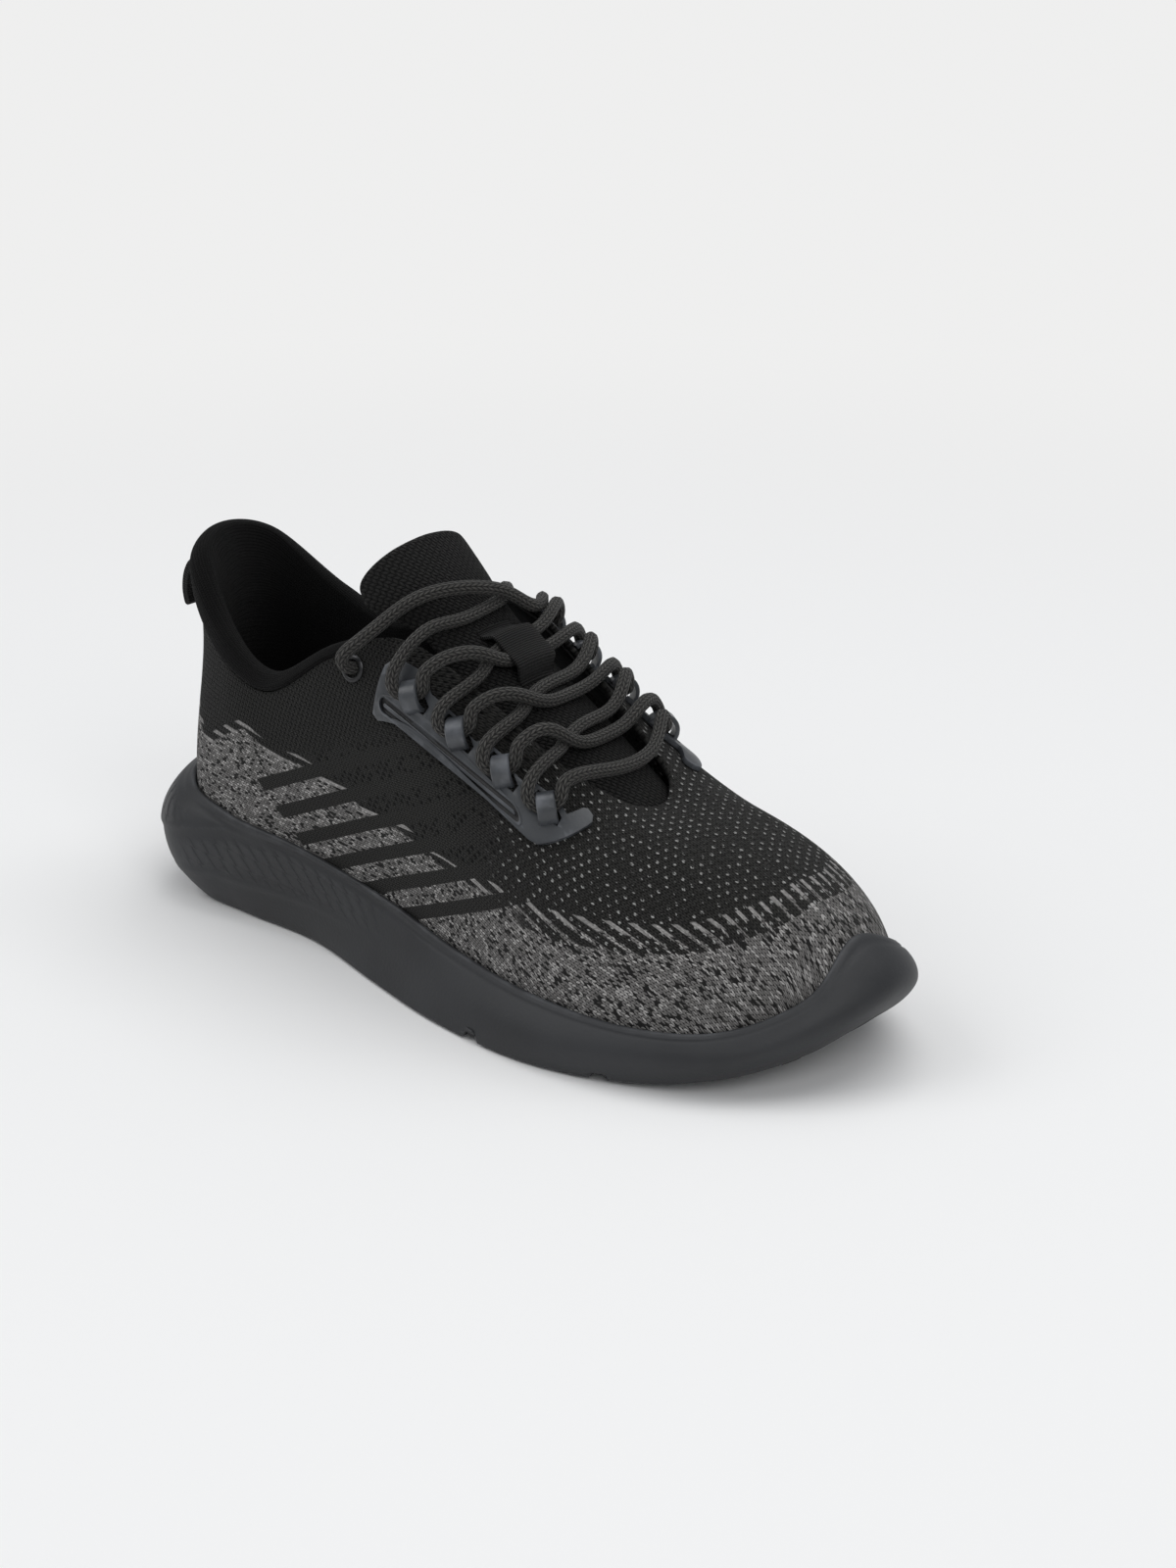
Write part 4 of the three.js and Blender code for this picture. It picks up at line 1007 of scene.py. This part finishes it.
def makePads():
    for name, (along, across) in pads.items():
        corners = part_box(name)
        cols = max(3, round((corners[1].x - corners[0].x) * 1000 / tread["lug"]))
        rows = max(2, round((corners[1].y - corners[0].y) * 1000 / tread["lug"]))

        def shape(p, q):
            s = along[0] + (along[1] - along[0]) * p
            t = (across[0] + (across[1] - across[0]) * q)[:, None]
            outer, inner = groundPoint(s), groundPoint(mirrored(s))
            point = outer * (1 - t) + inner * t
            point[:, 2] += tread["base"] - fit["foamLift"] - tread["depth"] * 0.5
            return point

        bm = gridMesh(cols, rows, shape, uv=lambda p, q: (p * cols, q * rows))
        if sum(f.normal.z for f in bm.faces) > 0:
            bmesh.ops.reverse_faces(bm, faces=bm.faces)
        top = bmesh.ops.duplicate(bm, geom=[*bm.verts, *bm.edges, *bm.faces])["geom"]
        upper = [g for g in top if isinstance(g, bmesh.types.BMVert)]
        upperFaces = [g for g in top if isinstance(g, bmesh.types.BMFace)]
        bmesh.ops.translate(bm, verts=upper, vec=(0, 0, 0.0017))
        bmesh.ops.reverse_faces(bm, faces=upperFaces)
        bmesh.ops.bridge_loops(bm, edges=[e for e in bm.edges if e.is_boundary])
        lugs = [f for f in bm.faces if f.normal.z < -0.9 and f not in upperFaces]
        bmesh.ops.inset_individual(bm, faces=lugs, thickness=tread["inset"], depth=0)
        bmesh.ops.translate(bm, verts=list({v for f in lugs for v in f.verts}),
                            vec=(0, 0, -(tread["base"] - tread["depth"] * 0.5) * 0.001))
        piece = finishPiece(name + "_tread", bm, looks["rubber"], "shoe", smoothed=False)
        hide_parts(name)


makePads()
print("outsole made")

# ---- Knit upper ----
knit = {"around": 456, "up": 62}
borderLine = [(0, 0.56), (0.8, 0.5), (1.4, 0.4), (1.6, 0.41), (2.4, 0.645), (3.28, 0.58), (3.68, 0.482),
              (4.03, 0.412), (4.57, 0.365), (4.95, 0.32), (5.4, 0.319), (5.75, 0.352), (6.45, 0.388),
              (6.86, 0.437), (7.24, 0.466), (7.63, 0.485), (8.23, 0.502), (8.56, 0.514), (8.91, 0.525),
              (10, 0.56)]
seamLine = [(0, 0.93), (1.2, 0.9), (2.0, 0.895), (2.6, 0.915), (3.2, 0.945), (3.9, 0.965), (4.6, 0.975)]
ridgeLine = [(-60, 115), (-26, 113), (4, 100), (32, 84), (48, 75), (58, 70), (80, 64), (100, 58), (120, 46),
             (134, 24)]


def seamPlace(s):  # where the knit is sewn to the collar's padding
    fromHeel = sideStation(np.mod(s, stationCount))
    return np.where(fromHeel < 4.6, np.interp(fromHeel, *zip(*seamLine)), 1.0)


sTable = np.linspace(0, stationCount, 381)
vTable = np.linspace(0, 1, 51)
sectionTable = skin(sTable[:, None], vTable[None, :])
climbSteps = np.linalg.norm(np.diff(sectionTable, axis=1), axis=2)
climbTable = np.concatenate([np.zeros((len(sTable), 1)), np.cumsum(climbSteps, axis=1)], axis=1)
heelLine = skin(sTable, 0.35)
heelArc = runLength(heelLine)


def climb(s, v):  # millimetres up the section
    i = np.clip(np.mod(s, stationCount) / stationCount * (len(sTable) - 1), 0, len(sTable) - 1.001)
    j = np.clip(v * (len(vTable) - 1), 0, len(vTable) - 1.001)
    i0, j0 = np.floor(i).astype(int), np.floor(j).astype(int)
    fi, fj = i - i0, j - j0
    low = climbTable[i0, j0] * (1 - fi) + climbTable[i0 + 1, j0] * fi
    high = climbTable[i0, j0 + 1] * (1 - fi) + climbTable[i0 + 1, j0 + 1] * fi
    return low * (1 - fj) + high * fj


def knitPlace(s, v):  # the knitting's own directions: along the courses and across the wales
    s = np.asarray(s, float)
    point = skin(s, v)
    side = np.where(s <= toeStation, -1, 1)
    arc = np.interp(s, sTable, heelArc)
    arc = np.where(s <= toeStation, arc, heelArc[-1] - arc)
    start = np.interp(5, sTable, heelArc) - skin(5.0, 0.35)[0]
    fore = smooth(point[..., 0], -40, 40)
    along = (1 - fore) * arc + fore * (point[..., 0] + start)
    drop = np.maximum(np.interp(point[..., 0], *zip(*ridgeLine)) - point[..., 2], 0)
    down = (np.abs(point[..., 1]) ** 1.3 + drop**1.3) ** (1 / 1.3)
    total = 112.0
    across = side * ((1 - fore) * (total - climb(s, v)) + fore * down)
    return along, across


def makeKnitUpper():
    def station(p):
        return stationAt(p)

    def height(p, q):
        return q * seamPlace(station(p))

    def shape(p, q):
        return skin(station(p), height(p, q))

    def values(p, q):
        s, v = station(p), height(p, q)
        fromHeel = sideStation(s)
        point = skin(s, v)
        border = np.interp(fromHeel, *zip(*borderLine))
        length = climb(s, 1 + 0 * s)
        slant = point[:, 2] - bars["slant"] * point[:, 0]
        barEdge = point[:, 0] + 85 - (54 - point[:, 2]) * 1.13
        middle = smooth(point[:, 0], -72, -58) * (1 - smooth(point[:, 0], 22, 36)) * (fromHeel < 7)
        return {"zone": (v - border) * length, "midfoot": middle * (1 - smooth(slant, 92, 100)),
                "slant": slant, "barEdge": barEdge,
                "vamp": smooth(point[:, 0], 18, 34) * smooth(fromHeel, 5.6, 6.2)}

    bm = gridMesh(knit["around"], knit["up"], shape, uv=lambda p, q: knitPlace(station(p), height(p, q)),
                  values=values)
    piece = finishPiece("knitUpper", bm, looks["knit"], "shoe")
    addModifier(piece, "SOLIDIFY", thickness=fit["knitWall"] * 0.001, offset=-1, use_rim=True)
    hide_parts("knit_upper")


makeKnitUpper()
print("knit upper made")

# ---- Collar padding and lining ----
collar = {"span": 4.5, "along": 170, "round": 56, "proud": 1.2}


def paddingDepth(s, v):  # from the knit's outside to the lining's inside
    rounding = np.cos(np.clip(s / (11 / 3 + 0.5), -1, 1) * np.pi / 2)
    swell = np.sin(np.pi * np.clip((v - 0.4) / 0.9, 0, 1))
    foam = fit["foamEdge"] + (fit["foamWall"] - fit["foamEdge"]) * rounding * swell
    return fit["knitWall"] + 2 * fit["gap"] + foam + fit["liningWall"]


def collarSection(s):  # points round the padding's section, from the outer seam over the top and down inside
    seam = seamPlace(s)
    depth = paddingDepth(s, 1 + 0 * s)
    inner = fit["knitWall"] + fit["gap"]
    radius = depth / 2 + 0.4
    normal, rise = skinNormal(s, 1), unit(skin(s, 1) - skin(s, 0.98))
    centre = onSkin(s, 1, -depth / 2)
    proud = collar["proud"] * (1 - smooth(np.abs(s), 3.2, 4.4)) * (0.1 + 0.9 * smooth(np.abs(s), 0.5, 1.3))
    points = [onSkin(s, seam + 0.002, -1.2), onSkin(s, seam + 0.006, -0.1),
              onSkin(s, seam + 0.02, 0.4 + 0.5 * proud), onSkin(s, (seam + 1) / 2, 0.5 + proud)]
    for angle in np.radians((8, 45, 90, 135, 172)):
        reach = (radius + 0.5 * proud * max(0, math.cos(angle)))[:, None]
        points.append(centre + normal * math.cos(angle) * reach + rise * math.sin(angle) * reach)
    for v in (0.93, 0.86, 0.77, 0.67, 0.56, 0.44, 0.31, 0.17):
        points.append(onSkin(s, v, -paddingDepth(s, v) - 0.8 * (1 - smooth(v, 0.2, 0.5))))
    points.append(onSkin(s, 0.09, -(inner + 2.6)))
    for v in (0.1, 0.3, 0.48, 0.65, 0.78):
        points.append(onSkin(s, v, -inner))
    points.append(onSkin(s, seam - 0.02, -inner))
    return np.stack(points, 1)


def makeCollar():
    span = collar["span"]
    stations = np.linspace(-span, span, collar["along"] + 1)
    sections = collarSection(stations)
    count = sections.shape[1]
    loop = np.concatenate([sections[:, -1:], sections, sections[:, :2]], axis=1)

    def shape(p, q):
        i = np.round(p * collar["along"]).astype(int)
        spot = q * count
        k = np.minimum(np.floor(spot).astype(int), count - 1)
        f = (spot - k)[:, None]
        return smoothThrough(*(loop[i, k + n] for n in range(4)), f)

    closed = np.concatenate([sections, sections[:, :1]], axis=1)
    sizes = np.linalg.norm(np.diff(closed, axis=1), axis=2).mean(0)
    run = np.concatenate([[0], np.cumsum(sizes)])

    def place(p, q):
        s = -span + 2 * span * p
        return s * 36, np.interp(q * count, np.arange(count + 1), run)

    bm = gridMesh(collar["along"], collar["round"] * 2, shape, uv=place)
    closeEnds(bm)
    piece = finishPiece("collarPadding", bm, looks["lining"], "shoe")
    co = np.array([v.co for v in piece.data.vertices])
    depth = shellDepth(co)
    plump(piece, depth, 3.0, 0.0022)
    addModifier(piece, "SUBSURF", levels=1, render_levels=1)
    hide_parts("collar_foam", "collar_lining")


def shellDepth(co):  # 1 where the padding is sewn down or lies against the knit, 0 on its free faces
    held = np.ones(len(co))
    tree = np.array(co)
    samples = []
    span = collar["span"]
    for s in np.linspace(-span, span, 120):
        one = collarSection(np.array([s]))[0]
        samples.append(one)
    samples = np.array(samples)
    free = toFrame(samples[:, 3:15].reshape(-1, 3))
    for start in range(0, len(tree), 2000):
        block = tree[start:start + 2000]
        far = np.sqrt(((block[:, None] - free[None]) ** 2).sum(2)).min(1)
        held[start:start + 2000] = np.clip((far - 0.0022) / 0.0012, 0, 1)
    return held


makeCollar()
print("collar made")


# ---- Tongue ----
def makeTongue():
    def half(t):
        plain = tongueHalf(t)
        dome = 28 * np.clip(1 - (np.maximum(t - 0.8, 0) / 0.2) ** 3.2, 0, 1) ** 0.4
        return np.where(t > 0.8, dome, plain)

    def shape(p, q):
        t = np.clip(p, 0, 1)
        angle = 2 * np.pi * q
        a = np.sign(np.cos(angle)) * np.abs(np.cos(angle)) ** 0.55
        up = np.sign(np.sin(angle)) * np.abs(np.sin(angle)) ** 0.55
        wide = np.arcsin(np.clip(half(t) / tongue["radius"], 0, 1))
        thick = tongue["thick"] * np.sqrt(np.clip(1 - smooth(t, 0.93, 1.0) ** 2 * 0.999, 0.0, 1))
        lift = -tongue["thick"] / 2 + thick / 2 * up + tongue["frontRaise"] * (1 - smooth(t, 0.05, 0.3))
        return tonguePoint(t, wide * a, lift)

    marks = np.linspace(0, 1, 200)
    run = runLength(threadCurve(tongueLine, marks) * (1, 0, 1))

    def place(p, q):
        angle = 2 * np.pi * q
        a = np.sign(np.cos(angle)) * np.abs(np.cos(angle)) ** 0.55
        wide = np.arcsin(np.clip(half(p) / tongue["radius"], 0, 1))
        under = tongue["backPattern"] * (np.sin(angle) < 0)
        return np.interp(p, marks, run), wide * a * tongue["radius"] + under

    bm = gridMesh(tongue["along"], tongue["round"], shape, uv=place)
    closeEnds(bm)
    piece = finishPiece("tongue", bm, looks["tongueKnit"], None)
    co = np.array([v.co for v in piece.data.vertices])
    flapShare = smooth(co[:, 2], 0.115, 0.125)
    plump(piece, 1 - flapShare * 0.9, 2.0, 0.0012)
    addModifier(piece, "SUBSURF", levels=1, render_levels=1)
    applyModifiers(piece)
    for face in piece.data.polygons:
        face.use_smooth = True
    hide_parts("tongue_face", "tongue_flap_face", "tongue_pad", "tongue_flap_pad")
    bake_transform(piece)


makeTongue()
print("tongue made")

# ---- Keeper strap on the tongue ----
strap = {"width": 16, "thick": 1.0}
strapLine = [(0.39, 0.3), (0.397, 0.6), (0.403, 3), (0.41, 5.6), (0.445, 6),
             (0.48, 5.6), (0.49, 3), (0.5, 0.5), (0.512, 0.3)]


def makeStrap():
    line = threadCurve([(t * 300, 0, lift) for t, lift in strapLine], np.linspace(0, 1, 61))
    run = runLength(line)
    halfAngle = strap["width"] / 2 / tongue["radius"]

    def shape(p, q):
        i = np.round(p * 60).astype(int)
        return tonguePoint(line[i, 0] / 300, (2 * q - 1) * halfAngle, line[i, 2])

    def place(p, q):
        return run[np.round(p * 60).astype(int)] * 0.7, q * strap["width"]

    bm = gridMesh(60, 10, shape, uv=place)
    piece = finishPiece("tongueStrap", bm, looks["tape"], "shoe")
    addModifier(piece, "SOLIDIFY", thickness=strap["thick"] * 0.001, offset=1, use_rim=True)
    addModifier(piece, "BEVEL", width=0.00025, segments=2)
    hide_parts("tongue_loop")


def makeBarTack():  # the stitched bar that holds the strap's lower end
    def shape(p, q):
        angle = 2 * np.pi * q
        wide = (2 * p - 1) * 8
        end = np.sqrt(np.clip(1 - (2 * p - 1) ** 8, 0, 1))
        return tonguePoint(0.365 + np.cos(angle) * 0.9 / 150 * end, wide / tongue["radius"],
                           0.35 + np.sin(angle) * 0.55 * end)

    bm = gridMesh(32, 10, shape, uv=lambda p, q: (p * 16, q * 5))
    closeEnds(bm)
    finishPiece("strapBarTack", bm, looks["tape"], "shoe")


makeStrap()
makeBarTack()
print("strap made")

# ---- Lace plates ----
plate = {"seat": 0.45, "thick": 1.6, "anchor": 191.9, "perHeight": 105, "window": (14, 8.5),
         "bridgeWidth": 6, "bridgeWall": 1.4, "bridgeOuter": 5.6, "bridgeHigh": 7.2}
plateOutline = [(169.2, 74.0), (171.2, 71.6), (239.4, 66.4), (243.6, 67.4), (276.4, 88.2), (277.4, 91.0),
                (274.8, 92.8), (271.8, 92.2), (262.5, 86.6), (258.0, 90.6), (246.0, 89.8), (243.0, 86.4),
                (237.0, 86.2), (234.0, 89.0), (224.0, 88.4), (220.0, 85.0), (216.0, 85.2), (213.0, 88.0),
                (204.0, 88.2), (200.0, 88.4), (193.6, 94.2), (183.6, 94.2), (178.6, 90.6)]
track = {"from": (177.0, 76.3), "to": (234.5, 71.8), "half": 2.7, "rib": 0.75}


def newVerts(result):
    return [part for part in result["geom"] if isinstance(part, bmesh.types.BMVert)]


def stadium(start, end, half):  # a long round-ended outline
    start, end = np.array(start), np.array(end)
    along = unit(end - start)
    across = np.array((-along[1], along[0]))
    points = []
    for centre, sign in ((start, -1), (end, 1)):
        for turn in np.linspace(-90, 90, 9):
            a = math.radians(turn)
            points.append(centre + sign * half * (along * math.cos(a) + across * math.sin(a)))
    return points


def toObject(name, bm):
    mesh = bpy.data.meshes.new(name)
    bm.to_mesh(mesh)
    bm.free()
    thing = bpy.data.objects.new(name, mesh)
    bpy.context.scene.collection.objects.link(thing)
    return thing


def prism(name, outline, low, high):  # an upright solid of that outline, in flat millimetres
    bm = bmesh.new()
    face = bm.faces.new([bm.verts.new((x, y, low)) for x, y in outline])
    top = bmesh.ops.extrude_face_region(bm, geom=[face])
    bmesh.ops.translate(bm, verts=newVerts(top), vec=(0, 0, high - low))
    bmesh.ops.recalc_face_normals(bm, faces=bm.faces)
    return toObject(name, bm)


def bore(piece, tool, operation):
    addModifier(piece, "BOOLEAN", object=tool, operation=operation, solver="EXACT")
    applyModifiers(piece)
    bpy.data.objects.remove(tool)


def hexagon(x, y):
    long, wide = plate["window"][0] / 2, plate["window"][1] / 2
    return [(x - long, y), (x - long + 3, y - wide), (x + long - 3, y - wide), (x + long, y),
            (x + long - 3, y + wide), (x - long + 3, y + wide)]


def makePlate(side):
    spec = plates[side]
    spots = [(plate["anchor"] + (s - spec["start"]) * spec["perStation"],
              (v - spec["raise"]) * plate["perHeight"]) for s, v in spec["bridges"]]
    bm = bmesh.new()
    bmesh.ops.create_grid(bm, x_segments=44, y_segments=14, size=0.5)
    bmesh.ops.scale(bm, vec=(114, 32, 1), verts=bm.verts)
    bmesh.ops.translate(bm, vec=(223, 80, 0), verts=bm.verts)
    raised = bmesh.ops.extrude_face_region(bm, geom=bm.faces[:])
    bmesh.ops.translate(bm, verts=newVerts(raised), vec=(0, 0, plate["thick"]))
    bmesh.ops.recalc_face_normals(bm, faces=bm.faces)
    flat = toObject("flatPlate", bm)
    thick = plate["thick"]
    bore(flat, prism("outline", plateOutline, -1, thick + 1), "INTERSECT")
    for x, y in spots:
        bore(flat, prism("window", hexagon(x, y), -1, thick + 1), "DIFFERENCE")
    trackSteps = [("rim", track["half"] + 0.8, 0.2, thick + 0.45, "UNION"),
                  ("groove", track["half"], thick - 0.75, thick + 2, "DIFFERENCE"),
                  ("rib", track["rib"], thick - 1.0, thick + 0.2, "UNION")]
    for name, half, low, high, operation in trackSteps:
        bore(flat, prism(name, stadium(track["from"], track["to"], half), low, high), operation)
    addModifier(flat, "BEVEL", width=0.28, segments=2, limit_method="ANGLE", angle_limit=0.7)
    applyModifiers(flat)
    bm = bmesh.new()
    bm.from_mesh(flat.data)
    bmesh.ops.triangulate(bm, faces=[f for f in bm.faces if len(f.verts) > 4])
    co = np.array([v.co for v in bm.verts])
    start, end = np.array(track["from"]), np.array(track["to"])
    share = np.clip((co[:, :2] - start) @ (end - start) / np.sum((end - start) ** 2), 0, 1)[:, None]
    off = np.linalg.norm(co[:, :2] - start - share * (end - start), axis=1)
    # the groove layer marks the track's groove faces, where the plate material paints shade
    groove = bm.verts.layers.float.new("groove")
    inGroove = (off < track["half"] + 0.05) & (co[:, 2] < thick - 0.25) & (co[:, 2] > 0.4)
    for vert, deep in zip(bm.verts, inGroove):
        vert[groove] = float(deep)
    s = spec["start"] + (co[:, 0] - plate["anchor"]) / spec["perStation"]
    v = co[:, 1] / plate["perHeight"] + spec["raise"]
    for vert, point in zip(bm.verts, toFrame(onSkin(s, np.minimum(v, 0.99), plate["seat"] + co[:, 2]))):
        vert.co = point
    if spec["perStation"] < 0:
        bmesh.ops.reverse_faces(bm, faces=bm.faces)
    addBridges(bm, spec["bridges"])
    bpy.data.objects.remove(flat)
    piece = finishPiece("lacePlate_" + side, bm, looks["plate"], "shoe", smoothed=False)
    for face in piece.data.polygons:
        face.use_smooth = True
    piece.data.set_sharp_from_angle(angle=math.radians(38))
    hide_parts("lace_plate_" + side)


def addBridges(bm, bridges):  # half-round keepers that stand over the windows
    outer, wall, half = plate["bridgeOuter"], plate["bridgeWall"], plate["bridgeWidth"] / 2
    for spot in bridges:
        part = bmesh.new()
        outline = [(-half, outer - wall), (-half, outer - 0.4), (-half + 0.4, outer), (half - 0.4, outer),
                   (half, outer - 0.4), (half, outer - wall)]
        face = part.faces.new([part.verts.new((x, y, 0)) for x, y in outline])
        bmesh.ops.spin(part, geom=[face, *face.edges, *face.verts], cent=(0, 0, 0), axis=(1, 0, 0),
                       angle=math.pi, steps=18, use_merge=False, use_duplicate=False)
        closeEnds(part)
        origin, axes = skinAxes(spot, plate["seat"] + 0.6)
        high = plate["bridgeHigh"] - plate["seat"] - 0.6
        for vert in part.verts:
            x, y, z = vert.co
            vert.co = toFrame(origin + np.array((x, y, z * high / outer)) @ axes)
        mesh = bpy.data.meshes.new("bridge")
        part.to_mesh(mesh)
        part.free()
        bm.from_mesh(mesh)


for side in plates:
    makePlate(side)
print("plates made")


# ---- Eyelets ----
ringShape = {"bore": 2.8, "wall": 0.5, "flange": 1.3, "thick": 0.8, "knit": 1.6}


def turnedRing(profile, spot, name, node):
    bm = bmesh.new()
    verts = [bm.verts.new((r, 0, z)) for r, z in profile]
    edges = [bm.edges.new((a, b)) for a, b in zip(verts, verts[1:] + verts[:1])]
    bmesh.ops.spin(bm, geom=verts + edges, cent=(0, 0, 0), axis=(0, 0, 1), angle=2 * math.pi, steps=48,
                   use_merge=True)
    bmesh.ops.remove_doubles(bm, verts=bm.verts, dist=0.001)
    bmesh.ops.recalc_face_normals(bm, faces=bm.faces)
    origin, axes = skinAxes(spot)
    for vert in bm.verts:
        vert.co = toFrame(origin + np.array(vert.co) @ axes)
    bmesh.ops.recalc_face_normals(bm, faces=bm.faces)
    piece = finishPiece(name, bm, looks["eyelet"], "shoe")
    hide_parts(node)


def makeEyelets():
    r, w, f, t = (ringShape[k] for k in ("bore", "wall", "flange", "thick"))
    seat = 0.3
    for side, spec in plates.items():
        barrel = r + w
        profile = [(r, -2.2), (barrel, -2.2), (barrel, seat), (barrel + f - 0.2, seat),
                   (barrel + f, seat + 0.2), (barrel + f - 0.15, seat + 0.55), (barrel + f - 0.6, seat + t),
                   (barrel + 0.1, seat + t + 0.05), (r + 0.25, seat + t - 0.15), (r, seat + 0.3)]
        turnedRing(profile, spec["eyelet"], "eyeletRing_" + side, "eyelet_" + side)
        low, gap = -(ringShape["knit"] + 0.6 + t), barrel + 0.3
        profile = [(gap, low), (gap + f, low + 0.15), (gap + f, low + t), (gap, low + t)]
        turnedRing(profile, spec["eyelet"], "eyeletBack_" + side, "eyelet_washer_" + side)


makeEyelets()
print("eyelets made")

# ---- Heel pull tab ----
tab = {"width": 18, "thick": 2.6, "centre": 1, "along": 60, "round": 24}
tabLine = [(-135, 0, 112.6), (-138, 0, 113.6), (-141.6, 0, 112.2), (-144.4, 0, 107.6), (-145.3, 0, 101.5),
           (-144.3, 0, 96.5)]


def makePullTab():
    line, length = evenSteps(threadCurve(tabLine, np.linspace(0, 1, 200)), 0.4)
    count = len(line) - 1
    tangents = unit(np.gradient(line, axis=0))
    out = np.stack([-tangents[:, 2], 0 * tangents[:, 0], tangents[:, 0]], -1)
    corners = [(-0.5, -0.5), (0.5, -0.5), (0.5, -0.06), (0.485, 0), (0.5, 0.06), (0.5, 0.5), (-0.5, 0.5),
               (-0.5, 0.06), (-0.485, 0), (-0.5, -0.06)]
    ring = np.array([*corners, corners[0]])
    marks = runLength(ring * (tab["width"], tab["thick"]))

    def around(q):
        spot = q * marks[-1]
        return np.interp(spot, marks, ring[:, 0]), np.interp(spot, marks, ring[:, 1]), spot

    def shape(p, q):
        i = np.round(p * count).astype(int)
        y, z, _ = around(q)
        left = (1 - p) * length
        rounding = np.sqrt(np.clip(1 - (1 - np.minimum(left / 1.3, 1)) ** 2, 0.02, 1))
        point = line[i] + out[i] * (z * tab["thick"] * rounding)[:, None]
        point[:, 1] = tab["centre"] + y * tab["width"]
        return point

    bm = gridMesh(count, 96, shape, uv=lambda p, q: (p * length, around(q)[2]))
    closeEnds(bm)
    piece = finishPiece("pullTab", bm, looks["tape"], "pull_tab")
    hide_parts("heel_pull_tab")


makePullTab()
print("pull tab made")

# ---- Sockliner ----
sock = {"inset": 6, "bottom": 2.3, "thick": 4, "cup": 2.5}


def makeSockliner():
    rows = 30

    def shape(p, q):
        s = stationAt(p)
        k = np.round(q * rows)
        edge = column("feather", s) - outward(s) * sock["inset"]
        other = column("feather", mirrored(s)) - outward(mirrored(s)) * sock["inset"]
        middle = (edge + other) / 2
        top, side, under = 14, 4, 12
        share = np.where(k <= top, k / top, np.where(k <= top + side, 1, 1 - (k - top - side) / under))
        share = np.clip(share, 0, 1)[:, None]
        point = middle * (1 - share) + edge * share
        rise = sock["cup"] * (1 - smooth(sideStation(s), 3, 6)) * smooth(share[:, 0], 0.6, 1)
        down = np.clip((k - top) / side, 0, 1)
        point[:, 2] += sock["bottom"] + (sock["thick"] + rise) * (1 - down)
        turn = np.sin(down * np.pi) * 0.6
        point -= outward(s) * (0.6 - turn)[:, None] * (share > 0.99)
        return point

    def place(p, q):
        point = shape(p, q)
        return point[:, 0], point[:, 1]

    bm = gridMesh(160, rows, shape, uv=place)
    bmesh.ops.dissolve_degenerate(bm, edges=bm.edges, dist=1e-6)
    bmesh.ops.recalc_face_normals(bm, faces=bm.faces)
    piece = finishPiece("insole", bm, looks["lining"], "insole")
    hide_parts("sockliner")


makeSockliner()
print("insole made")


# ---- CAD nodes that stay ----
def dressNodes():
    chosen = {"strobel_board": "board", "heel_counter": "stiffener", "toe_puff": "stiffener",
              "eyestay_lateral": "darkCloth", "eyestay_medial": "darkCloth",
              "aglet_medial": "eyelet", "aglet_lateral": "eyelet"}
    for node, look in chosen.items():
        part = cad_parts[node]
        part.data.materials.clear()
        part.data.materials.append(looks[look])


dressNodes()


# ---- Floor ----
def makeFloor():
    bm = bmesh.new()
    bmesh.ops.create_grid(bm, x_segments=1, y_segments=1, size=60)
    mesh = bpy.data.meshes.new("floor")
    bm.to_mesh(mesh)
    bm.free()
    floor = bpy.data.objects.new("floor", mesh)
    bpy.context.scene.collection.objects.link(floor)
    material, tree, shader = newMaterial("floor", Roughness=0.9, Base_Color=(0.9, 0.9, 0.898))
    place = wire(tree, "ShaderNodeTexCoord").outputs["Object"]
    away = wire(tree, "ShaderNodeVectorMath", {0: place}, operation="LENGTH").outputs["Value"]
    glow = wire(tree, "ShaderNodeEmission", {"Color": (0.862, 0.862, 0.86, 1), "Strength": 1.0})
    blend = wire(tree, "ShaderNodeMixShader", {0: ramp(tree, away, 0.25, 1.0)})
    tree.links.new(shader.outputs[0], blend.inputs[1])
    tree.links.new(glow.outputs[0], blend.inputs[2])
    tree.links.new(blend.outputs[0], tree.nodes["Material Output"].inputs["Surface"])
    mesh.materials.append(material)


makeFloor()
print("floor made")
